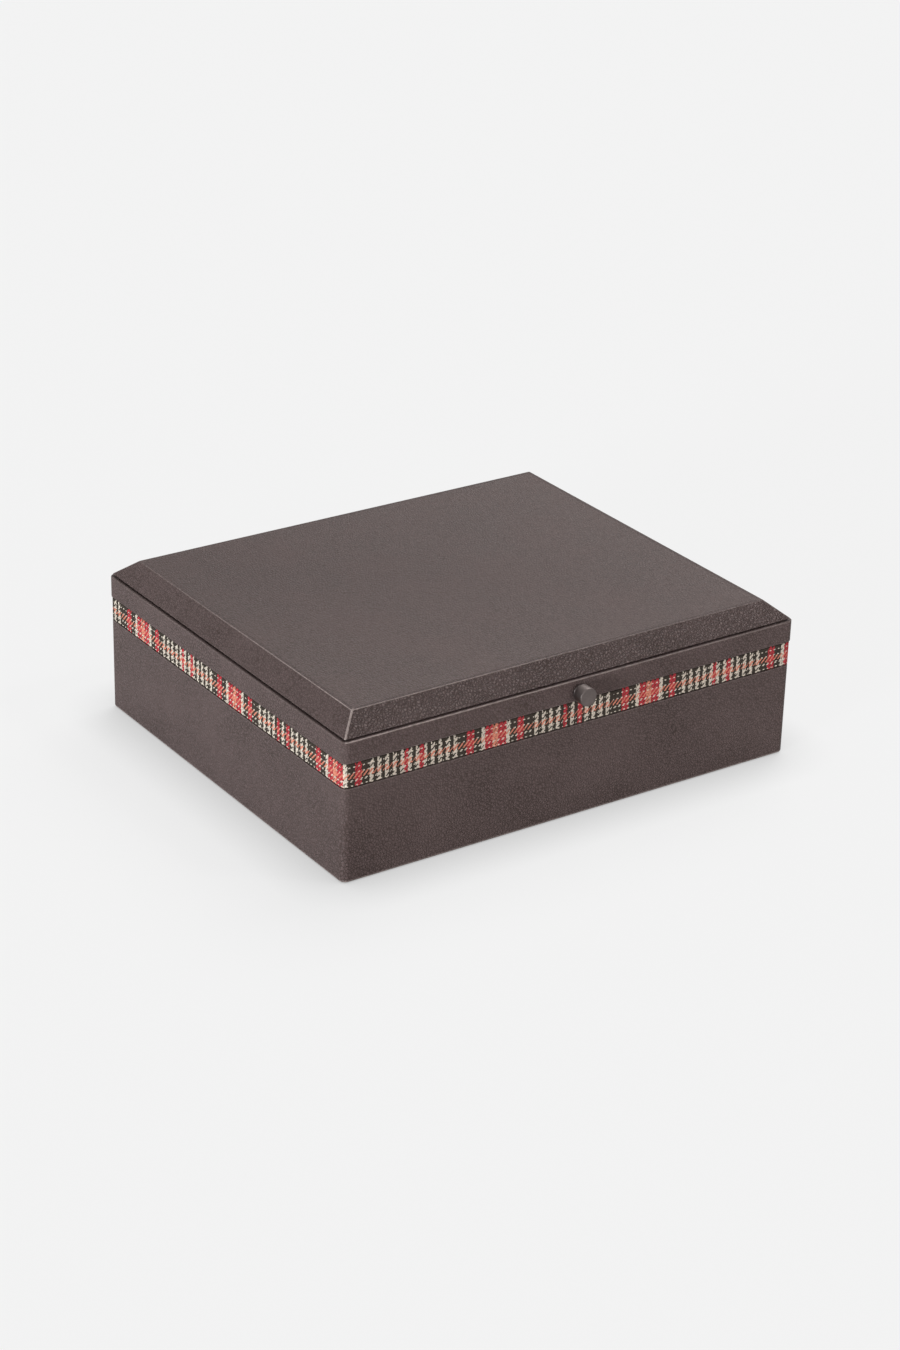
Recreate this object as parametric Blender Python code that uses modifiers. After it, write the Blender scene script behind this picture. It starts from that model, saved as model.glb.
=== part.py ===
"""A desk cigar humidor: a leather-covered case with a tweed band round its top, a bevelled
leather lid on two brass butt hinges, and a lining of Spanish cedar. The lid carries a pull
knob, a dial hygrometer and a humidifier that magnets hold, and a divider slides in the case.

Metres, +Z up. The origin is the centre of the felt that the humidor stands on, +X runs along
the front to the right, and +Y runs to the back, where the hinges are.
"""
import math

import bmesh
import bpy
from mathutils import Matrix, Vector

# Outside form
LID_WIDTH = 0.2600
LID_DEPTH = 0.2200
CASE_HEIGHT = 0.0608
LID_RIM_HEIGHT = 0.0111
LID_PANEL_HEIGHT = 0.0089
LEDGE_WIDTH = 0.0018
CHAMFER_RUN = 0.0095
LID_OVERHANG = 0.0003
CORNER_RADIUS = 0.0035
FOOT_EDGE_RADIUS = 0.0010
RIM_EDGE_RADIUS = 0.0005
RIDGE_RADIUS = 0.0008

# Clearances: between glued pieces, between lid and case, and from the lid's rails to the lip
SEAT_GAP = 0.0003
PARTING_GAP = 0.0003
LIP_CLEARANCE = 0.0006

# Covering and boards
LEATHER_THICKNESS = 0.0010
TRIM_THICKNESS = 0.0008
BAND_HEIGHT = 0.0120
TURN_IN_WIDTH = 0.0120
FLOOR_CLEARANCE = 0.0005
FELT_THICKNESS = 0.0015
BASE_BOARD_THICKNESS = 0.0060
BOARD_THICKNESS = 0.0080

# Cedar
CEDAR_BASE_THICKNESS = 0.0030
CEDAR_WALL_THICKNESS = 0.0040
CEDAR_CEILING_THICKNESS = 0.0030
LIP_RISE = 0.0052
CEDAR_EDGE_RADIUS = 0.0006

# Hinges, with three knuckles each
HINGE_INSET = 0.0550
HINGE_LENGTH = 0.0320
LEAF_DEPTH = 0.0078
BARREL_RADIUS = 0.0025
BARREL_STANDOFF = 0.0003
MIDDLE_KNUCKLE_LENGTH = 0.0140
KNUCKLE_GAP = 0.0003
HINGE_PIN_RADIUS = 0.0010
HINGE_PIN_CLEARANCE = 0.0001

# Wood screws
SCREW_SPREAD = 0.0180
SCREW_LENGTH = 0.0060
SCREW_SHANK_RADIUS = 0.0009
SCREW_HEAD_RADIUS = 0.0019
SCREW_HEAD_SINK = 0.0001
SCREW_CLEARANCE = 0.00015
SCREW_SLOT_LENGTH = 0.0028
SCREW_SLOT_WIDTH = 0.0005
SCREW_SLOT_DEPTH = 0.0003

# Pull knob and its screw
KNOB_RADIUS = 0.0046
KNOB_LENGTH = 0.0074
KNOB_DROP = 0.0008
KNOB_NECK_RADIUS = 0.0032
KNOB_NECK_LENGTH = 0.0016
KNOB_EDGE = 0.0003
KNOB_BORE_DEPTH = 0.0055
KNOB_SCREW_RADIUS = 0.0015
KNOB_SCREW_REACH = 0.0050
KNOB_HEAD_RADIUS = 0.0027
KNOB_HEAD_THICKNESS = 0.0018

# Hygrometer, let into the lid's ceiling
HYGROMETER_X = -0.0720
CUP_RADIUS = 0.0190
CUP_WALL = 0.0010
CUP_DEPTH = 0.0070
DIAL_SHELF_WIDTH = 0.0015
DIAL_DROP = 0.0040
DIAL_THICKNESS = 0.0005
LENS_THICKNESS = 0.0010
BEZEL_RADIUS = 0.0220
BEZEL_WINDOW_RADIUS = 0.0165
BEZEL_THICKNESS = 0.0020
BEZEL_EDGE = 0.0006
ARBOR_RADIUS = 0.0008
ARBOR_CLEARANCE = 0.0002
ARBOR_HEAD = 0.0005
HAND_THICKNESS = 0.0004
HAND_LIFT = 0.0006
HAND_LENGTH = 0.0135
HAND_TAIL_LENGTH = 0.0050
HAND_WIDTH = 0.0014
HAND_TIP_SHARE = 0.2
HAND_REST_ANGLE = math.radians(-36.0)
COIL_INNER_RADIUS = 0.0020
COIL_PITCH = 0.0026
COIL_TURNS = 4
COIL_STEPS_PER_TURN = 24
COIL_STRIP_HEIGHT = 0.0006
COIL_STRIP_THICKNESS = 0.0003

# Humidifier, held to a steel plate on the lid's ceiling by two magnets
HUMIDIFIER_X = 0.0300
HUMIDIFIER_WIDTH = 0.1040
HUMIDIFIER_DEPTH = 0.0500
HUMIDIFIER_HEIGHT = 0.0110
HUMIDIFIER_CORNER_RADIUS = 0.0050
HUMIDIFIER_WALL = 0.0016
HUMIDIFIER_BACK = 0.0034
GRILLE_THICKNESS = 0.0012
SLOT_COUNT = 11
SLOT_PITCH = 0.0080
SLOT_WIDTH = 0.0030
SLOT_LENGTH = 0.0360
MAGNET_RADIUS = 0.0050
MAGNET_THICKNESS = 0.0020
MAGNET_SPREAD = 0.0640
PLATE_WIDTH = 0.0860
PLATE_DEPTH = 0.0300
PLATE_THICKNESS = 0.0010
PLATE_CORNER_RADIUS = 0.0040
PLATE_SCREW_SPREAD = 0.0360

# Divider, which stands across the case from front to back
DIVIDER_X = 0.0380
DIVIDER_THICKNESS = 0.0040
DIVIDER_HEIGHT = 0.0350
DIVIDER_NOTCH_RADIUS = 0.0140
DIVIDER_NOTCH_RISE = 0.0040

# How finely round shapes are cut, and how far a cutter runs past what it cuts
CORNER_SEGMENTS = 4
EDGE_SEGMENTS = 2
BOLT_SIDES = 20
BARREL_SIDES = 24
KNOB_SIDES = 48
DIAL_SIDES = 48
CUT_OVERRUN = 0.0010
MERGE_DISTANCE = 0.00001

# Heights worked out from the sizes above
FLANGE_TOP = FLOOR_CLEARANCE + LEATHER_THICKNESS
BASE_BOARD_BOTTOM = max(FLANGE_TOP, FELT_THICKNESS) + SEAT_GAP
BASE_BOARD_TOP = BASE_BOARD_BOTTOM + BASE_BOARD_THICKNESS
WALL_BOTTOM = BASE_BOARD_TOP + SEAT_GAP
CEDAR_BASE_TOP = WALL_BOTTOM + CEDAR_BASE_THICKNESS
TRIM_BOTTOM = CASE_HEIGHT - TRIM_THICKNESS
BOARD_TOP = TRIM_BOTTOM - SEAT_GAP
BAND_BOTTOM = CASE_HEIGHT - BAND_HEIGHT
LIP_TOP = CASE_HEIGHT + LIP_RISE
RIM_BOTTOM = CASE_HEIGHT + PARTING_GAP
RIM_TOP = RIM_BOTTOM + LID_RIM_HEIGHT
RAIL_BOTTOM = RIM_BOTTOM + TRIM_THICKNESS + SEAT_GAP
RAIL_TOP = RIM_TOP - LEATHER_THICKNESS - SEAT_GAP
PANEL_BOTTOM = RIM_TOP + SEAT_GAP
PANEL_TOP = PANEL_BOTTOM + LID_PANEL_HEIGHT
CEILING_TOP = PANEL_BOTTOM - SEAT_GAP
CEILING = CEILING_TOP - CEDAR_CEILING_THICKNESS

# Half widths in plan, from the outside in
CASE_HALF_X = LID_WIDTH / 2 - LID_OVERHANG
CASE_HALF_Y = LID_DEPTH / 2 - LID_OVERHANG
SKIN_AND_GAP = LEATHER_THICKNESS + SEAT_GAP
BOARD_HALF_X = CASE_HALF_X - SKIN_AND_GAP
BOARD_HALF_Y = CASE_HALF_Y - SKIN_AND_GAP
WELL_HALF_X = BOARD_HALF_X - BOARD_THICKNESS
WELL_HALF_Y = BOARD_HALF_Y - BOARD_THICKNESS
CEDAR_HALF_X = WELL_HALF_X - SEAT_GAP
CEDAR_HALF_Y = WELL_HALF_Y - SEAT_GAP
INSIDE_HALF_X = CEDAR_HALF_X - CEDAR_WALL_THICKNESS
INSIDE_HALF_Y = CEDAR_HALF_Y - CEDAR_WALL_THICKNESS
RAIL_HALF_X = LID_WIDTH / 2 - SKIN_AND_GAP
RAIL_HALF_Y = LID_DEPTH / 2 - SKIN_AND_GAP
LID_WELL_HALF_X = CEDAR_HALF_X + LIP_CLEARANCE
LID_WELL_HALF_Y = CEDAR_HALF_Y + LIP_CLEARANCE

# Hinge line
HINGE_Y = LID_DEPTH / 2 + BARREL_STANDOFF + BARREL_RADIUS
HINGE_Z = CASE_HEIGHT + PARTING_GAP / 2
LEAF_OUTER_Y = HINGE_Y - BARREL_RADIUS - KNUCKLE_GAP
LEAF_INNER_Y = LEAF_OUTER_Y - LEAF_DEPTH
SCREW_Y = (LEAF_OUTER_Y + LEAF_INNER_Y) / 2

# Levels inside the hygrometer, below its mouth in the ceiling
HYGROMETER_FLOOR = CUP_DEPTH - CUP_WALL
DIAL_BACK = DIAL_DROP + DIAL_THICKNESS
CUP_BORE_RADIUS = CUP_RADIUS - CUP_WALL
SHELF_RADIUS = CUP_BORE_RADIUS - DIAL_SHELF_WIDTH
ARBOR_BACK = HYGROMETER_FLOOR - SEAT_GAP

# Levels in the humidifier
PLATE_BOTTOM = CEILING - SEAT_GAP - PLATE_THICKNESS
HUMIDIFIER_TOP = PLATE_BOTTOM - SEAT_GAP
HUMIDIFIER_BOTTOM = HUMIDIFIER_TOP - HUMIDIFIER_HEIGHT

COLOURS = {
    "leather": ((0.083, 0.063, 0.059, 1.0), 0.55, 0.0),
    "tweed": ((0.230, 0.120, 0.090, 1.0), 0.95, 0.0),
    "felt": ((0.020, 0.018, 0.017, 1.0), 0.95, 0.0),
    "board": ((0.360, 0.250, 0.160, 1.0), 0.80, 0.0),
    "cedar": ((0.430, 0.210, 0.110, 1.0), 0.65, 0.0),
    "brass": ((0.600, 0.430, 0.170, 1.0), 0.30, 1.0),
    "gunmetal": ((0.120, 0.105, 0.100, 1.0), 0.40, 1.0),
    "steel": ((0.500, 0.500, 0.520, 1.0), 0.35, 1.0),
    "dial_white": ((0.800, 0.780, 0.720, 1.0), 0.50, 0.0),
    "glass": ((0.900, 0.930, 0.930, 0.25), 0.05, 0.0),
    "black_plastic": ((0.020, 0.020, 0.020, 1.0), 0.45, 0.0),
    "foam": ((0.120, 0.150, 0.120, 1.0), 0.95, 0.0),
}


def clear_scene():
    """Remove what the scene holds."""
    for leftover in list(bpy.data.objects):
        bpy.data.objects.remove(leftover, do_unlink=True)


def new_collection(name):
    """A collection linked to the scene."""
    group = bpy.data.collections.new(name)
    bpy.context.scene.collection.children.link(group)
    return group


def make_materials():
    """One Principled material for each finish."""
    finishes = {}
    for name, (colour, roughness, metallic) in COLOURS.items():
        finish = bpy.data.materials.new(name)
        finish.use_nodes = True
        shader = finish.node_tree.nodes["Principled BSDF"]
        shader.inputs["Base Color"].default_value = colour
        shader.inputs["Alpha"].default_value = colour[3]
        shader.inputs["Roughness"].default_value = roughness
        shader.inputs["Metallic"].default_value = metallic
        finish.diffuse_color = colour
        finishes[name] = finish
    return finishes


clear_scene()
HUMIDOR = new_collection("cigar_humidor")
CUTTERS = new_collection("cutters")
FINISHES = make_materials()


def add_piece(name, shape, finish):
    """An object of the humidor from a bmesh in world coordinates."""
    mesh = bpy.data.meshes.new(name)
    bmesh.ops.recalc_face_normals(shape, faces=shape.faces)
    shape.to_mesh(mesh)
    shape.free()
    mesh.materials.append(FINISHES[finish])
    piece = bpy.data.objects.new(name, mesh)
    HUMIDOR.objects.link(piece)
    return piece


def add_cutter(name, shape):
    """A hidden object that other pieces are cut or joined with."""
    mesh = bpy.data.meshes.new(name)
    bmesh.ops.recalc_face_normals(shape, faces=shape.faces)
    shape.to_mesh(mesh)
    shape.free()
    cutter = bpy.data.objects.new(name, mesh)
    cutter.hide_render = True
    cutter.display_type = "WIRE"
    CUTTERS.objects.link(cutter)
    return cutter


def combine(piece, cutter, operation="DIFFERENCE"):
    """Cut the cutter out of a piece, or join it on with UNION."""
    change = piece.modifiers.new(cutter.name, "BOOLEAN")
    change.operation = operation
    change.solver = "EXACT"
    change.object = cutter


def cut_out(piece, name, shape):
    """Cut a bmesh shape out of a piece."""
    combine(piece, add_cutter(name, shape))


def join_on(piece, name, shape):
    """Join a bmesh shape to a piece that it runs into."""
    combine(piece, add_cutter(name, shape), "UNION")


def box(low, high):
    """A bmesh box between two corners."""
    shape = bmesh.new()
    bmesh.ops.create_cube(shape, size=1.0)
    bmesh.ops.scale(shape, vec=Vector(high) - Vector(low), verts=shape.verts)
    bmesh.ops.translate(shape, vec=(Vector(high) + Vector(low)) / 2, verts=shape.verts)
    return shape


def round_edges(shape, chosen, radius, segments):
    """Round the edges for which chosen(direction, middle) is true."""
    if radius <= MERGE_DISTANCE:
        return
    picked = []
    for edge in shape.edges:
        start, end = (corner.co for corner in edge.verts)
        if chosen((end - start).normalized(), (start + end) / 2):
            picked.append(edge)
    bmesh.ops.bevel(shape, geom=picked, offset=radius, segments=segments, profile=0.5,
                    affect="EDGES", material=-1, clamp_overlap=True)


def upright(direction, middle):
    """True for an edge that runs up and down."""
    return abs(direction.z) > 0.9


def slab(half_x, half_y, bottom, top, radius=0.0):
    """A box centred on the Z axis, with its upright edges rounded."""
    shape = box((-half_x, -half_y, bottom), (half_x, half_y, top))
    round_edges(shape, upright, radius, CORNER_SEGMENTS)
    return shape


def inner_radius(outer, inset):
    """The corner radius of an outline that lies inset inside a rounded one."""
    return max(outer - inset, 0.0)


def cylinder(radius, start, end, sides, end_radius=None):
    """A bmesh cylinder or cone between two points."""
    shape = bmesh.new()
    axis = Vector(end) - Vector(start)
    turn = axis.to_track_quat("Z", "Y").to_matrix().to_4x4()
    place = Matrix.Translation((Vector(start) + Vector(end)) / 2) @ turn
    far_radius = radius if end_radius is None else end_radius
    bmesh.ops.create_cone(shape, cap_ends=True, segments=sides, radius1=radius,
                          radius2=far_radius, depth=axis.length, matrix=place)
    return shape


def turned(name, profile, sides, finish, location, rotation, closed=False):
    """A piece turned round its own Z axis from (radius, height) points, read downwards."""
    mesh = bpy.data.meshes.new(name)
    corners = [(radius, 0.0, height) for radius, height in profile]
    edges = [(index, index + 1) for index in range(len(corners) - 1)]
    if closed:
        edges.append((len(corners) - 1, 0))
    mesh.from_pydata(corners, edges, [])
    mesh.materials.append(FINISHES[finish])
    piece = bpy.data.objects.new(name, mesh)
    HUMIDOR.objects.link(piece)
    piece.location = location
    piece.rotation_euler = rotation
    screw = piece.modifiers.new("turn", "SCREW")
    screw.axis = "Z"
    screw.angle = math.tau
    screw.steps = sides
    screw.render_steps = sides
    screw.use_merge_vertices = True
    screw.merge_threshold = MERGE_DISTANCE
    screw.use_smooth_shade = True
    return piece


def soften(piece, radius):
    """Round every sharp edge of a piece a little."""
    bevel = piece.modifiers.new("soften", "BEVEL")
    bevel.width = radius
    bevel.segments = EDGE_SEGMENTS
    bevel.limit_method = "ANGLE"


def pivot(name, location):
    """An empty on a joint's axis, which carries the pieces that move on it."""
    axis = bpy.data.objects.new(name, None)
    axis.location = location
    HUMIDOR.objects.link(axis)
    return axis


def carry(axis, pieces):
    """Parent pieces to a pivot and keep them where they are."""
    bpy.context.view_layer.update()
    for piece in pieces:
        piece.parent = axis
        piece.matrix_parent_inverse = axis.matrix_world.inverted()


FACE_FRONT = (math.pi / 2, 0.0, 0.0)
FACE_DOWN = (math.pi, 0.0, 0.0)
FACE_UP = (0.0, 0.0, 0.0)


def make_case_boards():
    """The felt, the base board and the four wall boards."""
    corner = inner_radius(CORNER_RADIUS, SKIN_AND_GAP)
    felt_x = CASE_HALF_X - TURN_IN_WIDTH - SEAT_GAP
    felt_y = CASE_HALF_Y - TURN_IN_WIDTH - SEAT_GAP
    add_piece("base_felt", slab(felt_x, felt_y, 0.0, FELT_THICKNESS), "felt")
    base = slab(BOARD_HALF_X, BOARD_HALF_Y, BASE_BOARD_BOTTOM, BASE_BOARD_TOP, corner)
    add_piece("base_board", base, "board")
    for name, side in (("front_board", -1), ("back_board", 1)):
        ends = sorted((side * BOARD_HALF_Y, side * WELL_HALF_Y))
        board = box((-BOARD_HALF_X, ends[0], WALL_BOTTOM), (BOARD_HALF_X, ends[1], BOARD_TOP))
        round_edges(board, lambda way, at: upright(way, at) and abs(at.y) > WELL_HALF_Y + MERGE_DISTANCE,
                    corner, CORNER_SEGMENTS)
        add_piece(name, board, "board")
    for name, side in (("left_board", -1), ("right_board", 1)):
        ends = sorted((side * BOARD_HALF_X, side * WELL_HALF_X))
        reach = WELL_HALF_Y - SEAT_GAP
        board = box((ends[0], -reach, WALL_BOTTOM), (ends[1], reach, BOARD_TOP))
        add_piece(name, board, "board")


def make_case_cover():
    """The leather below the band, the tweed band, and the leather trim on top of the boards."""
    bottom_edge = lambda way, at: abs(way.z) < 0.1 and at.z < FLANGE_TOP
    outer = slab(CASE_HALF_X, CASE_HALF_Y, FLOOR_CLEARANCE, BAND_BOTTOM - SEAT_GAP, CORNER_RADIUS)
    round_edges(outer, bottom_edge, FOOT_EDGE_RADIUS, EDGE_SEGMENTS)
    cover = add_piece("case_leather", outer, "leather")
    cavity_x = CASE_HALF_X - LEATHER_THICKNESS
    cavity_y = CASE_HALF_Y - LEATHER_THICKNESS
    cavity_corner = inner_radius(CORNER_RADIUS, LEATHER_THICKNESS)
    hollow = slab(cavity_x, cavity_y, FLANGE_TOP, BAND_BOTTOM + CUT_OVERRUN, cavity_corner)
    cut_out(cover, "cut_case_hollow", hollow)
    window = slab(CASE_HALF_X - TURN_IN_WIDTH, CASE_HALF_Y - TURN_IN_WIDTH,
                  FLOOR_CLEARANCE - CUT_OVERRUN, FLANGE_TOP + CUT_OVERRUN)
    cut_out(cover, "cut_case_window", window)

    band = add_piece("tweed_band",
                     slab(CASE_HALF_X, CASE_HALF_Y, BAND_BOTTOM, CASE_HEIGHT, CORNER_RADIUS), "tweed")
    cut_out(band, "cut_band", slab(cavity_x, cavity_y, BAND_BOTTOM - CUT_OVERRUN,
                                   CASE_HEIGHT + CUT_OVERRUN, cavity_corner))

    trim = add_piece("case_rim_trim",
                     slab(BOARD_HALF_X, BOARD_HALF_Y, TRIM_BOTTOM, CASE_HEIGHT,
                          inner_radius(CORNER_RADIUS, SKIN_AND_GAP)), "leather")
    cut_out(trim, "cut_trim", slab(WELL_HALF_X, WELL_HALF_Y, TRIM_BOTTOM - CUT_OVERRUN,
                                   CASE_HEIGHT + CUT_OVERRUN))


def make_cedar_lining():
    """The cedar floor of the case and the four linings that rise past its rim as a lip."""
    floor_x = INSIDE_HALF_X - SEAT_GAP
    floor_y = INSIDE_HALF_Y - SEAT_GAP
    add_piece("cedar_floor", slab(floor_x, floor_y, WALL_BOTTOM, CEDAR_BASE_TOP), "cedar")
    for name, side in (("cedar_front", -1), ("cedar_back", 1)):
        ends = sorted((side * CEDAR_HALF_Y, side * INSIDE_HALF_Y))
        lining = box((-CEDAR_HALF_X, ends[0], WALL_BOTTOM), (CEDAR_HALF_X, ends[1], LIP_TOP))
        soften(add_piece(name, lining, "cedar"), CEDAR_EDGE_RADIUS)
    for name, side in (("cedar_left", -1), ("cedar_right", 1)):
        ends = sorted((side * CEDAR_HALF_X, side * INSIDE_HALF_X))
        reach = INSIDE_HALF_Y - SEAT_GAP
        lining = box((ends[0], -reach, WALL_BOTTOM), (ends[1], reach, LIP_TOP))
        soften(add_piece(name, lining, "cedar"), CEDAR_EDGE_RADIUS)


def make_lid_frame():
    """The four rails of the lid and the leather that wraps them."""
    corner = inner_radius(CORNER_RADIUS, SKIN_AND_GAP)
    rails = []
    for name, side in (("lid_front_rail", -1), ("lid_back_rail", 1)):
        ends = sorted((side * RAIL_HALF_Y, side * LID_WELL_HALF_Y))
        rail = box((-RAIL_HALF_X, ends[0], RAIL_BOTTOM), (RAIL_HALF_X, ends[1], RAIL_TOP))
        round_edges(rail, lambda way, at: upright(way, at) and abs(at.y) > LID_WELL_HALF_Y + MERGE_DISTANCE,
                    corner, CORNER_SEGMENTS)
        rails.append(add_piece(name, rail, "cedar"))
    for name, side in (("lid_left_rail", -1), ("lid_right_rail", 1)):
        ends = sorted((side * RAIL_HALF_X, side * LID_WELL_HALF_X))
        reach = LID_WELL_HALF_Y - SEAT_GAP
        rail = box((ends[0], -reach, RAIL_BOTTOM), (ends[1], reach, RAIL_TOP))
        rails.append(add_piece(name, rail, "cedar"))

    outer = slab(LID_WIDTH / 2, LID_DEPTH / 2, RIM_BOTTOM, RIM_TOP, CORNER_RADIUS)
    round_edges(outer, lambda way, at: abs(way.z) < 0.1, RIM_EDGE_RADIUS, EDGE_SEGMENTS)
    cover = add_piece("lid_rim_leather", outer, "leather")
    hollow = slab(LID_WIDTH / 2 - LEATHER_THICKNESS, LID_DEPTH / 2 - LEATHER_THICKNESS,
                  RIM_BOTTOM + TRIM_THICKNESS, RIM_TOP - LEATHER_THICKNESS,
                  inner_radius(CORNER_RADIUS, LEATHER_THICKNESS))
    cut_out(cover, "cut_rim_hollow", hollow)
    cut_out(cover, "cut_rim_window", slab(LID_WELL_HALF_X, LID_WELL_HALF_Y,
                                          RIM_BOTTOM - CUT_OVERRUN, RIM_TOP + CUT_OVERRUN))
    return rails + [cover]


def panel_wedge(inset, bottom, top):
    """A block with the lid panel's slopes, each moved inwards by inset."""
    slope = CHAMFER_RUN / LID_PANEL_HEIGHT
    shift = LEDGE_WIDTH + inset * math.hypot(1.0, slope)
    shape = box((-LID_WIDTH / 2, -LID_DEPTH / 2, bottom), (LID_WIDTH / 2, LID_DEPTH / 2, top))
    for corner in shape.verts:
        draw_in = shift + slope * (corner.co.z - PANEL_BOTTOM)
        corner.co.x -= math.copysign(draw_in, corner.co.x)
        corner.co.y -= math.copysign(draw_in, corner.co.y)
    return shape


def make_lid_panel():
    """The bevelled board on top of the lid, its leather, and the cedar ceiling under it."""
    skin = panel_wedge(0.0, PANEL_BOTTOM, PANEL_TOP)
    round_edges(skin, lambda way, at: at.z > PANEL_BOTTOM + MERGE_DISTANCE, RIDGE_RADIUS, EDGE_SEGMENTS)
    leather = add_piece("lid_panel_leather", skin, "leather")
    hollow = panel_wedge(LEATHER_THICKNESS, PANEL_BOTTOM - CUT_OVERRUN, PANEL_TOP - LEATHER_THICKNESS)
    cut_out(leather, "cut_panel_hollow", hollow)
    board = add_piece("lid_panel_board",
                      panel_wedge(SKIN_AND_GAP, PANEL_BOTTOM, PANEL_TOP - SKIN_AND_GAP), "board")
    ceiling = add_piece("lid_cedar_ceiling",
                        slab(LID_WELL_HALF_X - SEAT_GAP, LID_WELL_HALF_Y - SEAT_GAP, CEILING, CEILING_TOP),
                        "cedar")
    return leather, board, ceiling


def leaf_plate(side, x):
    """A hinge leaf's plate: side is -1 for the case's leaf and 1 for the lid's."""
    face = HINGE_Z + side * PARTING_GAP / 2
    levels = sorted((face, face + side * TRIM_THICKNESS))
    reach = HINGE_LENGTH / 2
    return box((x - reach, LEAF_INNER_Y, levels[0]), (x + reach, LEAF_OUTER_Y, levels[1]))


def leaf_mortise(side, x):
    """The room that a hinge leaf's plate is let into, open at the back and at the parting face."""
    face = HINGE_Z + side * PARTING_GAP / 2
    levels = sorted((face - side * CUT_OVERRUN, face + side * (TRIM_THICKNESS + SEAT_GAP)))
    reach = HINGE_LENGTH / 2 + SEAT_GAP
    return box((x - reach, LEAF_INNER_Y - SEAT_GAP, levels[0]), (x + reach, HINGE_Y, levels[1]))


def make_leaf(name, side, x):
    """A hinge leaf with its knuckles: the case's has the outer two, the lid's the middle one."""
    leaf = add_piece(name, leaf_plate(side, x), "brass")
    half = HINGE_LENGTH / 2
    middle = MIDDLE_KNUCKLE_LENGTH / 2
    if side > 0:
        spans = [(-middle, middle)]
    else:
        spans = [(-half, -middle - KNUCKLE_GAP), (middle + KNUCKLE_GAP, half)]
    near = HINGE_Z + side * PARTING_GAP / 2
    levels = sorted((near, near + side * TRIM_THICKNESS))
    for index, (start, end) in enumerate(spans):
        tag = f"{name}_{index}"
        barrel = cylinder(BARREL_RADIUS, (x + start, HINGE_Y, HINGE_Z),
                          (x + end, HINGE_Y, HINGE_Z), BARREL_SIDES)
        tongue = box((x + start, SCREW_Y, levels[0]), (x + end, HINGE_Y, levels[1]))
        join_on(leaf, f"tongue_{tag}", tongue)
        join_on(leaf, f"barrel_{tag}", barrel)
    bore_reach = half + CUT_OVERRUN
    bore = cylinder(HINGE_PIN_RADIUS + HINGE_PIN_CLEARANCE, (x - bore_reach, HINGE_Y, HINGE_Z),
                    (x + bore_reach, HINGE_Y, HINGE_Z), BARREL_SIDES)
    cut_out(leaf, f"bore_{name}", bore)
    return leaf


def make_screw(name, place, up):
    """A countersunk wood screw with its slot; up is 1 where the head faces up."""
    head_depth = SCREW_HEAD_RADIUS - SCREW_SHANK_RADIUS
    profile = [
        (0.0, -SCREW_HEAD_SINK),
        (SCREW_HEAD_RADIUS, -SCREW_HEAD_SINK),
        (SCREW_SHANK_RADIUS, -SCREW_HEAD_SINK - head_depth),
        (SCREW_SHANK_RADIUS, SCREW_SHANK_RADIUS - SCREW_LENGTH),
        (0.0, -SCREW_LENGTH),
    ]
    rotation = FACE_UP if up > 0 else FACE_DOWN
    screw = turned(name, profile, BOLT_SIDES, "brass", place, rotation)
    levels = sorted((place[2] - up * (SCREW_HEAD_SINK + SCREW_SLOT_DEPTH), place[2] + up * CUT_OVERRUN))
    slot = box((place[0] - SCREW_SLOT_LENGTH / 2, place[1] - SCREW_SLOT_WIDTH / 2, levels[0]),
               (place[0] + SCREW_SLOT_LENGTH / 2, place[1] + SCREW_SLOT_WIDTH / 2, levels[1]))
    cut_out(screw, f"slot_{name}", slot)
    return screw


def drill_screw(pieces, name, place, up):
    """Cut the countersink and the hole for a screw out of each piece that it passes."""
    way = Vector((0.0, 0.0, -up))
    start = Vector(place)
    wide = SCREW_HEAD_RADIUS + SCREW_CLEARANCE
    narrow = SCREW_SHANK_RADIUS + SCREW_CLEARANCE
    depth = wide - narrow
    sink_from = start - way * CUT_OVERRUN
    sink = cylinder(wide + CUT_OVERRUN, sink_from, start + way * depth, BOLT_SIDES, narrow)
    hole = cylinder(narrow, start, start + way * (SCREW_LENGTH + SCREW_CLEARANCE), BOLT_SIDES)
    sink_cutter = add_cutter(f"sink_{name}", sink)
    hole_cutter = add_cutter(f"hole_{name}", hole)
    for piece in pieces:
        combine(piece, hole_cutter)
    combine(pieces[0], sink_cutter)


def make_hinges(back_board, back_rail, rim_pieces, rim_leather):
    """Two butt hinges let into the case's band and trim and into the leather of the lid."""
    on_lid = []
    for tag, hand in (("left", -1), ("right", 1)):
        x = hand * (LID_WIDTH / 2 - HINGE_INSET)
        mortise = add_cutter(f"mortise_case_{tag}", leaf_mortise(-1, x))
        for piece in rim_pieces:
            combine(piece, mortise)
        cut_out(rim_leather, f"mortise_lid_{tag}", leaf_mortise(1, x))
        case_leaf = make_leaf(f"hinge_{tag}_case_leaf", -1, x)
        lid_leaf = make_leaf(f"hinge_{tag}_lid_leaf", 1, x)
        on_lid.append(lid_leaf)
        add_piece(f"hinge_{tag}_pin",
                  cylinder(HINGE_PIN_RADIUS, (x - HINGE_LENGTH / 2, HINGE_Y, HINGE_Z),
                           (x + HINGE_LENGTH / 2, HINGE_Y, HINGE_Z), BARREL_SIDES), "brass")
        for number, way in ((1, -1), (2, 1)):
            screw_x = x + way * SCREW_SPREAD / 2
            case_place = (screw_x, SCREW_Y, CASE_HEIGHT)
            lid_place = (screw_x, SCREW_Y, RIM_BOTTOM)
            case_name = f"hinge_{tag}_case_screw_{number}"
            lid_name = f"hinge_{tag}_lid_screw_{number}"
            make_screw(case_name, case_place, 1)
            on_lid.append(make_screw(lid_name, lid_place, -1))
            drill_screw([case_leaf, back_board], case_name, case_place, 1)
            drill_screw([lid_leaf, back_rail], lid_name, lid_place, -1)
    return on_lid


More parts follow.
